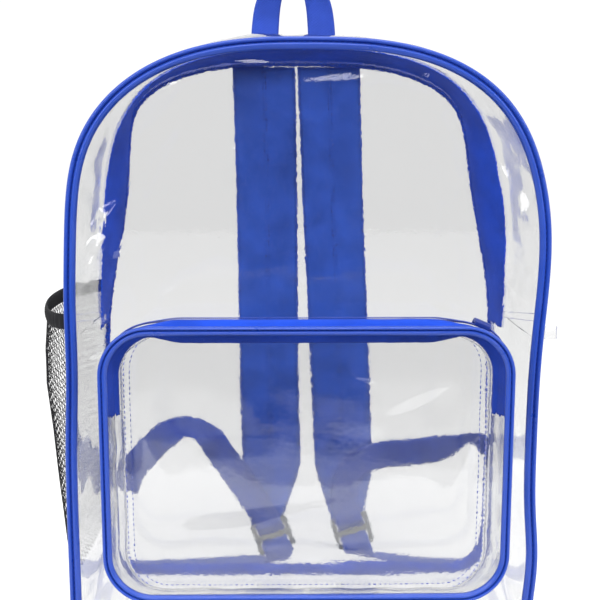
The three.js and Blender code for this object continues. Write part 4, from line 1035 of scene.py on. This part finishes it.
pocket_gap = 0.00015 / POCKET["length"]
pocket_inset = POCKET_PIPING / 2
lower = pocket_wall("pocket_side_lower", -pocket_zip_end + pocket_gap, pocket_zip_end - pocket_gap,
                    -0.06, 1, pocket_inset, 22, 300, 51, 0.0012)
dress(thicken(lower, VINYL_WALL, False), vinyl, "clear_vinyl", "pocket_wall_lower")
tape_share = POCKET_TAPE / pocket_room
upper = pocket_wall("pocket_side_upper", pocket_zip_end + pocket_gap,
                    1 - pocket_zip_end - pocket_gap, tape_share - 0.004 / pocket_room, 1,
                    pocket_inset, 14, 300, 55, 0.0012)
dress(thicken(upper, VINYL_WALL, False), vinyl, "clear_vinyl", "pocket_wall_upper")
rows = []
for inward in POCKET_SEAMS:
    line = pocket_at(ring, 1, pocket_inset + inward)
    line[:, 1] = front_surface(line[:, 0], line[:, 2]) - POCKET_SEAM_LIFT
    rows.append(sewn(line, (0, -1, 0), seam_thread))
dress(join_pieces("pocket_base_stitches", rows), seam_thread, "piping")
POCKET_TAPE_INSET = 0.003 + 0.0005 + 0.0007 + 0.0004
POCKET_COIL_INSET = POCKET_TAPE_INSET - 0.0004 - 0.0007 - 0.0008
tape = pocket_wall("pocket_zip_cloth", pocket_zip_end + pocket_gap,
                   1 - pocket_zip_end - pocket_gap, -0.03, tape_share, POCKET_TAPE_INSET, 16, 300,
                   61, 0.0003, ragged(16, 0.005, 7)[:, None] / POCKET["length"])
dress(thicken(tape, ZIP_TAPE), zip_cloth, "zip_tape", "pocket_zip_tape")
coil_share = np.linspace(pocket_zip_end + 0.0005, 1 - pocket_zip_end - 0.0005, 500)
zip_teeth("pocket_zip_teeth", "pocket_zip_coil", POCKET, coil_share,
          lambda at, aside: pocket_at(at, COIL_DEPTH + aside / pocket_room, POCKET_COIL_INSET))
body = softened("pocket_zip_slider", "pocket_slider", 0.0006)
dress(body, slider_paint, "zip_slider", "pocket_zip_slider")

pull_cord = cloth_thread("pull_cord_cloth", (0.012, 0.034, 0.24))
loop = merged_copy("pocket_zip_loop", "pocket_pull_cord")
rounder = loop.modifiers.new("round", "SUBSURF")
rounder.levels = 2
rounder.render_levels = 2
loop.data.shade_smooth()
dress(loop, pull_cord, "pull_cord", "pocket_zip_loop")

# Net pocket on the left side: knitted black net with tall diamond holes, gathered at the top
# by a black elastic, its edges sewn into the side seams.
NET_LOW = 0.060
NET_HIGH = 0.243
NET_BULGE = 0.030
NET_RISE = 0.008
NET_FULLNESS = 0.45
NET_CELL = 0.0024
NET_TALL = 0.0052
NET_STRAND = 0.00030
NET_CROWDING = 2.0
FIBRE_SCALE = 1800
FIBRE_HEIGHT = 0.0002
NET_PROFILE = np.array([
    (0, 0), (0.06, 0.32), (0.33, 0.58), (0.57, 0.78), (0.74, 0.98), (0.88, 1), (1, 0.92)])
net_front = BAG_FRONT + 0.0073
net_back = BAG_BACK - 0.0063


def net_at(across, up, out=0.0):
    """A point of the net: across 0 at the front seam to 1 at the back, up 0 to 1 and beyond."""
    across, up = np.broadcast_arrays(across, up)
    y = mix(net_front + 0.001, net_back - 0.001, across)
    z = mix(NET_LOW, NET_HIGH, up) + NET_RISE * np.clip(up, 0, 1) * across
    bulge = NET_BULGE * np.interp(up, NET_PROFILE[:, 0], NET_PROFILE[:, 1])
    belly = np.clip(np.sin(math.pi * across), 0, 1) ** NET_FULLNESS
    wall = BAG_HALF - WALL_INSET + VINYL_WALL / 2 - drape(-1, z, y)
    return np.stack([-(wall + 0.0011 + bulge * belly + out), y, z], -1)


def knit_net():
    columns = int(0.150 / NET_CELL)
    rows = int((NET_HIGH - NET_LOW) / NET_TALL)
    half_rows = np.arange(2 * rows + 1)
    up = half_rows / (2 * rows)
    verts, edges = [], []
    for column in range(columns + 1):
        swing = np.where((half_rows + column) % 2 == 0, 0.46, -0.46)
        even = np.clip((column + swing) / columns, 0.002, 0.998)
        across = mix(even, 1 - (1 - even) ** NET_CROWDING, 0.85)
        lift = 0.0003 * (column % 2)
        line = net_at(across, up, lift)
        start = len(verts)
        verts += line.tolist()
        edges += [(start + k, start + k + 1) for k in range(len(line) - 1)]
    return verts, edges


verts, edges = knit_net()
net_mesh = bpy.data.meshes.new("net_lines")
net_mesh.from_pydata(verts, edges, [])
net = add_piece("net_pocket", net_mesh)
net_cloth, net_tree, net_base = new_material("net_cloth", (0.012, 0.012, 0.014), 0.75)
add_bump(net_tree, net_base, noise_on(net_tree, FIBRE_SCALE, 2), FIBRE_HEIGHT, 0.6)
tree, given = start_nodes("strands", ("Radius", "Float"))
lines = add_node(tree, "GeometryNodeMeshToCurve", {"Mesh": given["Geometry"]})
section = add_node(tree, "GeometryNodeCurvePrimitiveCircle", {
    "Resolution": 4, "Radius": given["Radius"]})
tubes = add_node(tree, "GeometryNodeCurveToMesh", {
    "Curve": lines.outputs["Curve"], "Profile Curve": section.outputs["Curve"], "Fill Caps": True})
paint = add_node(tree, "GeometryNodeSetMaterial", {
    "Geometry": tubes.outputs["Mesh"], "Material": net_cloth})
add_node(tree, "NodeGroupOutput", {"Geometry": paint.outputs["Geometry"]})
dress(run_nodes(net, tree, Radius=NET_STRAND), net_cloth, "net", "mesh_pocket")

ELASTIC_HIGH = 0.011
ELASTIC_WALL = 0.002
GATHERS = 46
across = np.linspace(0, 1, 420)[:, None]
turn = np.linspace(0, 2 * math.pi, 28, endpoint=False)[None, :]
rise = NET_HIGH + ELASTIC_HIGH * (0.5 - 0.5 * np.cos(turn))
rim = net_at(across + 0 * turn, (rise - NET_LOW) / (NET_HIGH - NET_LOW))
gather = 0.0006 * np.sin(2 * math.pi * GATHERS * across + 1.2 * np.sin(5 * across)) * np.sin(
    math.pi * (rise - NET_HIGH) / ELASTIC_HIGH)
rim[..., 0] -= 0.0005 + ELASTIC_WALL / 2 * np.sin(turn) + gather
uv_turn = np.linspace(0, 2 * ELASTIC_HIGH, 29)[None, :]
uv = np.stack(np.broadcast_arrays(uv_turn, np.linspace(0, 0.15, 420)[:, None]), -1)
elastic_cloth = woven("elastic_cloth", (0.016, 0.016, 0.018), 0.0011, 0.0010, 0.0002)
elastic = grid_piece("net_elastic", rim, uv, close_u=True, caps=True)
dress(elastic, elastic_cloth, "elastic", "mesh_pocket_elastic")

# Side tab: a folded scrap of the clear sheet caught in the right seam.
tab = softened("side_tab", "side_tab_fold", 0.0004)
dress(tab, vinyl, "clear_vinyl", "side_tab")

# Straps, webbing and handle: flat woven bands. Each is laid again through the middle of its
# CAD solid's sections, with rounded edges, and the straps are sewn with rows of stitches.
STRAP_BLUE = (0.036, 0.106, 0.56)
WEBBING_BLUE = (0.034, 0.082, 0.47)
strap_cloth = woven("strap_cloth", STRAP_BLUE, 0.0009, 0.0009, 0.00015)
webbing_cloth = woven("webbing_cloth", WEBBING_BLUE, 0.0030, 0.0012, 0.0004)


def band_sections(node, wall, widths):
    """Middles and half-width vectors of a flat band's sections, in order along it."""
    bm = bmesh.new()
    bm.from_mesh(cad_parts[node].data)
    bmesh.ops.remove_doubles(bm, verts=bm.verts, dist=1e-6)

    def over(vert, lengths):
        return [e.other_vert(vert) for e in vert.link_edges
                if any(abs(e.calc_length() - length) < 4e-5 for length in lengths)]

    group = {}
    sections = []
    for vert in bm.verts:
        if vert in group:
            continue
        rings = [(vert, side, far, other) for side in over(vert, [wall])
                 for far in over(vert, widths) for other in over(far, [wall])
                 if side in over(other, widths)]
        if rings:
            near_a, near_b, far_a, far_b = rings[0]
            for corner in rings[0]:
                group[corner] = len(sections)
            middle = (near_a.co + near_b.co + far_a.co + far_b.co) / 4
            wide = (near_a.co + near_b.co - far_a.co - far_b.co) / 4
            sections.append((np.array(middle), np.array(wide)))
    joined = {k: set() for k in range(len(sections))}
    for edge in bm.edges:
        a, b = (group.get(v) for v in edge.verts)
        if a is not None and b is not None and a != b:
            joined[a].add(b)
            joined[b].add(a)
    bm.free()
    order = [min((k for k in joined if len(joined[k]) == 1), key=lambda k: sections[k][0][2])]
    while True:
        onward = [k for k in joined[order[-1]] if k not in order]
        if not onward:
            break
        order.append(onward[0])
    middles = np.array([sections[k][0] for k in order])
    wides = [sections[order[0]][1]]
    for k in order[1:]:
        wide = sections[k][1]
        wides.append(wide if wide @ wides[-1] > 0 else -wide)
    return middles, np.array(wides)


def curve_through(knots, values, where):
    """A smooth curve through values at knots, without overshoot where knots crowd."""
    slope = np.gradient(values, knots, axis=0)
    k = np.clip(np.searchsorted(knots, where, side="right") - 1, 0, len(knots) - 2)
    gap = (knots[k + 1] - knots[k])[:, None]
    t = ((where - knots[k]) / (knots[k + 1] - knots[k]))[:, None]
    return ((2 * t**3 - 3 * t**2 + 1) * values[k] + (t**3 - 2 * t**2 + t) * gap * slope[k]
            + (3 * t**2 - 2 * t**3) * values[k + 1] + (t**3 - t**2) * gap * slope[k + 1])


def fine_band(middles, wides, step):
    steps = np.linalg.norm(np.diff(middles, axis=0), axis=1)
    length = np.concatenate([[0], np.cumsum(steps)])
    count = int(length[-1] / step) + 1
    where = np.linspace(0, length[-1], count)
    middle = curve_through(length, middles, where)
    half = np.interp(where, length, np.linalg.norm(wides, axis=1))
    wide = curve_through(length, wides, where)
    wide *= (half / np.linalg.norm(wide, axis=1))[:, None]
    along = np.gradient(middle, axis=0)
    normal = np.cross(along, wide)
    normal /= np.linalg.norm(normal, axis=1)[:, None]
    return where, middle, wide, normal


def band_piece(name, laid, wall, ripple=0.0, columns=13, seed=1):
    """A flat band with rounded edges, its map in metres across and along."""
    where, middle, wide, normal = laid
    t = np.linspace(1, -1, columns)
    high = (1 - np.abs(t) ** 7) ** 0.5 * 0.94 + 0.06
    t_ring = np.concatenate([t, t[::-1]])
    h_ring = np.concatenate([high, -high[::-1]]) * wall / 2
    points = (middle[:, None] + wide[:, None] * t_ring[None, :, None]
              + normal[:, None] * h_ring[None, :, None])
    if ripple:
        flat = np.stack(np.broadcast_arrays(where[:, None], t_ring[None, :] * 0.01, 0.0), -1)
        points += normal[:, None] * (ripple * noise_at(flat, 0.02, seed))[..., None]
    half = np.linalg.norm(wide, axis=1)[:, None]
    girth = np.append(t_ring, t_ring[0])[None, :] * half
    uv = np.stack(np.broadcast_arrays(girth, where[:, None]), -1)
    return grid_piece(name, points, uv, close_u=True, caps=True)


def band_line(laid, across, lift):
    """A line along a band, across -1 to 1 of its half width, lift off its middle."""
    where, middle, wide, normal = laid
    return middle + wide * across + normal * lift, normal * np.sign(lift)


handle = fine_band(*band_sections("haul_handle", 0.0018, [0.022]), 0.002)
dress(band_piece("handle_band", handle, 0.0018), webbing_cloth, "webbing", "haul_handle")
strap_stitch = lozenge("strap_stitch_form", 0.0030, 0.0005, 0.0004)
for side in ("left", "right"):
    strap = fine_band(*band_sections(f"shoulder_strap_{side}", 0.0024, [0.051, 0.029]), 0.004)
    dress(band_piece(f"strap_{side}", strap, 0.0024, 0.0005, 17), strap_cloth, "strap_fabric",
          f"shoulder_strap_{side}")
    rows = []
    for across in (-0.94, -0.045, 0.045, 0.94):
        for lift in (-0.00122, 0.00122):
            line, ups = band_line(strap, across, lift)
            rows.append(repeat_along("row", line, ups, 0.0042, strap_stitch, blue_thread))
    dress(join_pieces(f"strap_stitches_{side}", rows), blue_thread, "strap_fabric")
    webbing = fine_band(*band_sections(f"webbing_{side}", 0.0016, [0.024]), 0.002)
    dress(band_piece(f"webbing_band_{side}", webbing, 0.0016), webbing_cloth, "webbing",
          f"webbing_{side}")
bpy.data.objects.remove(strap_stitch)
bpy.data.objects.remove(stitch)
bpy.data.objects.remove(tooth)

# Strap adjusters: grey moulded plastic, three bars and two slots.
adjuster_plastic = gloss_plastic("adjuster_plastic", (0.23, 0.24, 0.25), (0.17, 0.18, 0.19), 0.45)
for side in ("left", "right"):
    plate = softened(f"strap_adjuster_{side}", f"adjuster_{side}", 0.0007)
    dress(plate, adjuster_plastic, "adjuster_plastic", f"strap_adjuster_{side}")
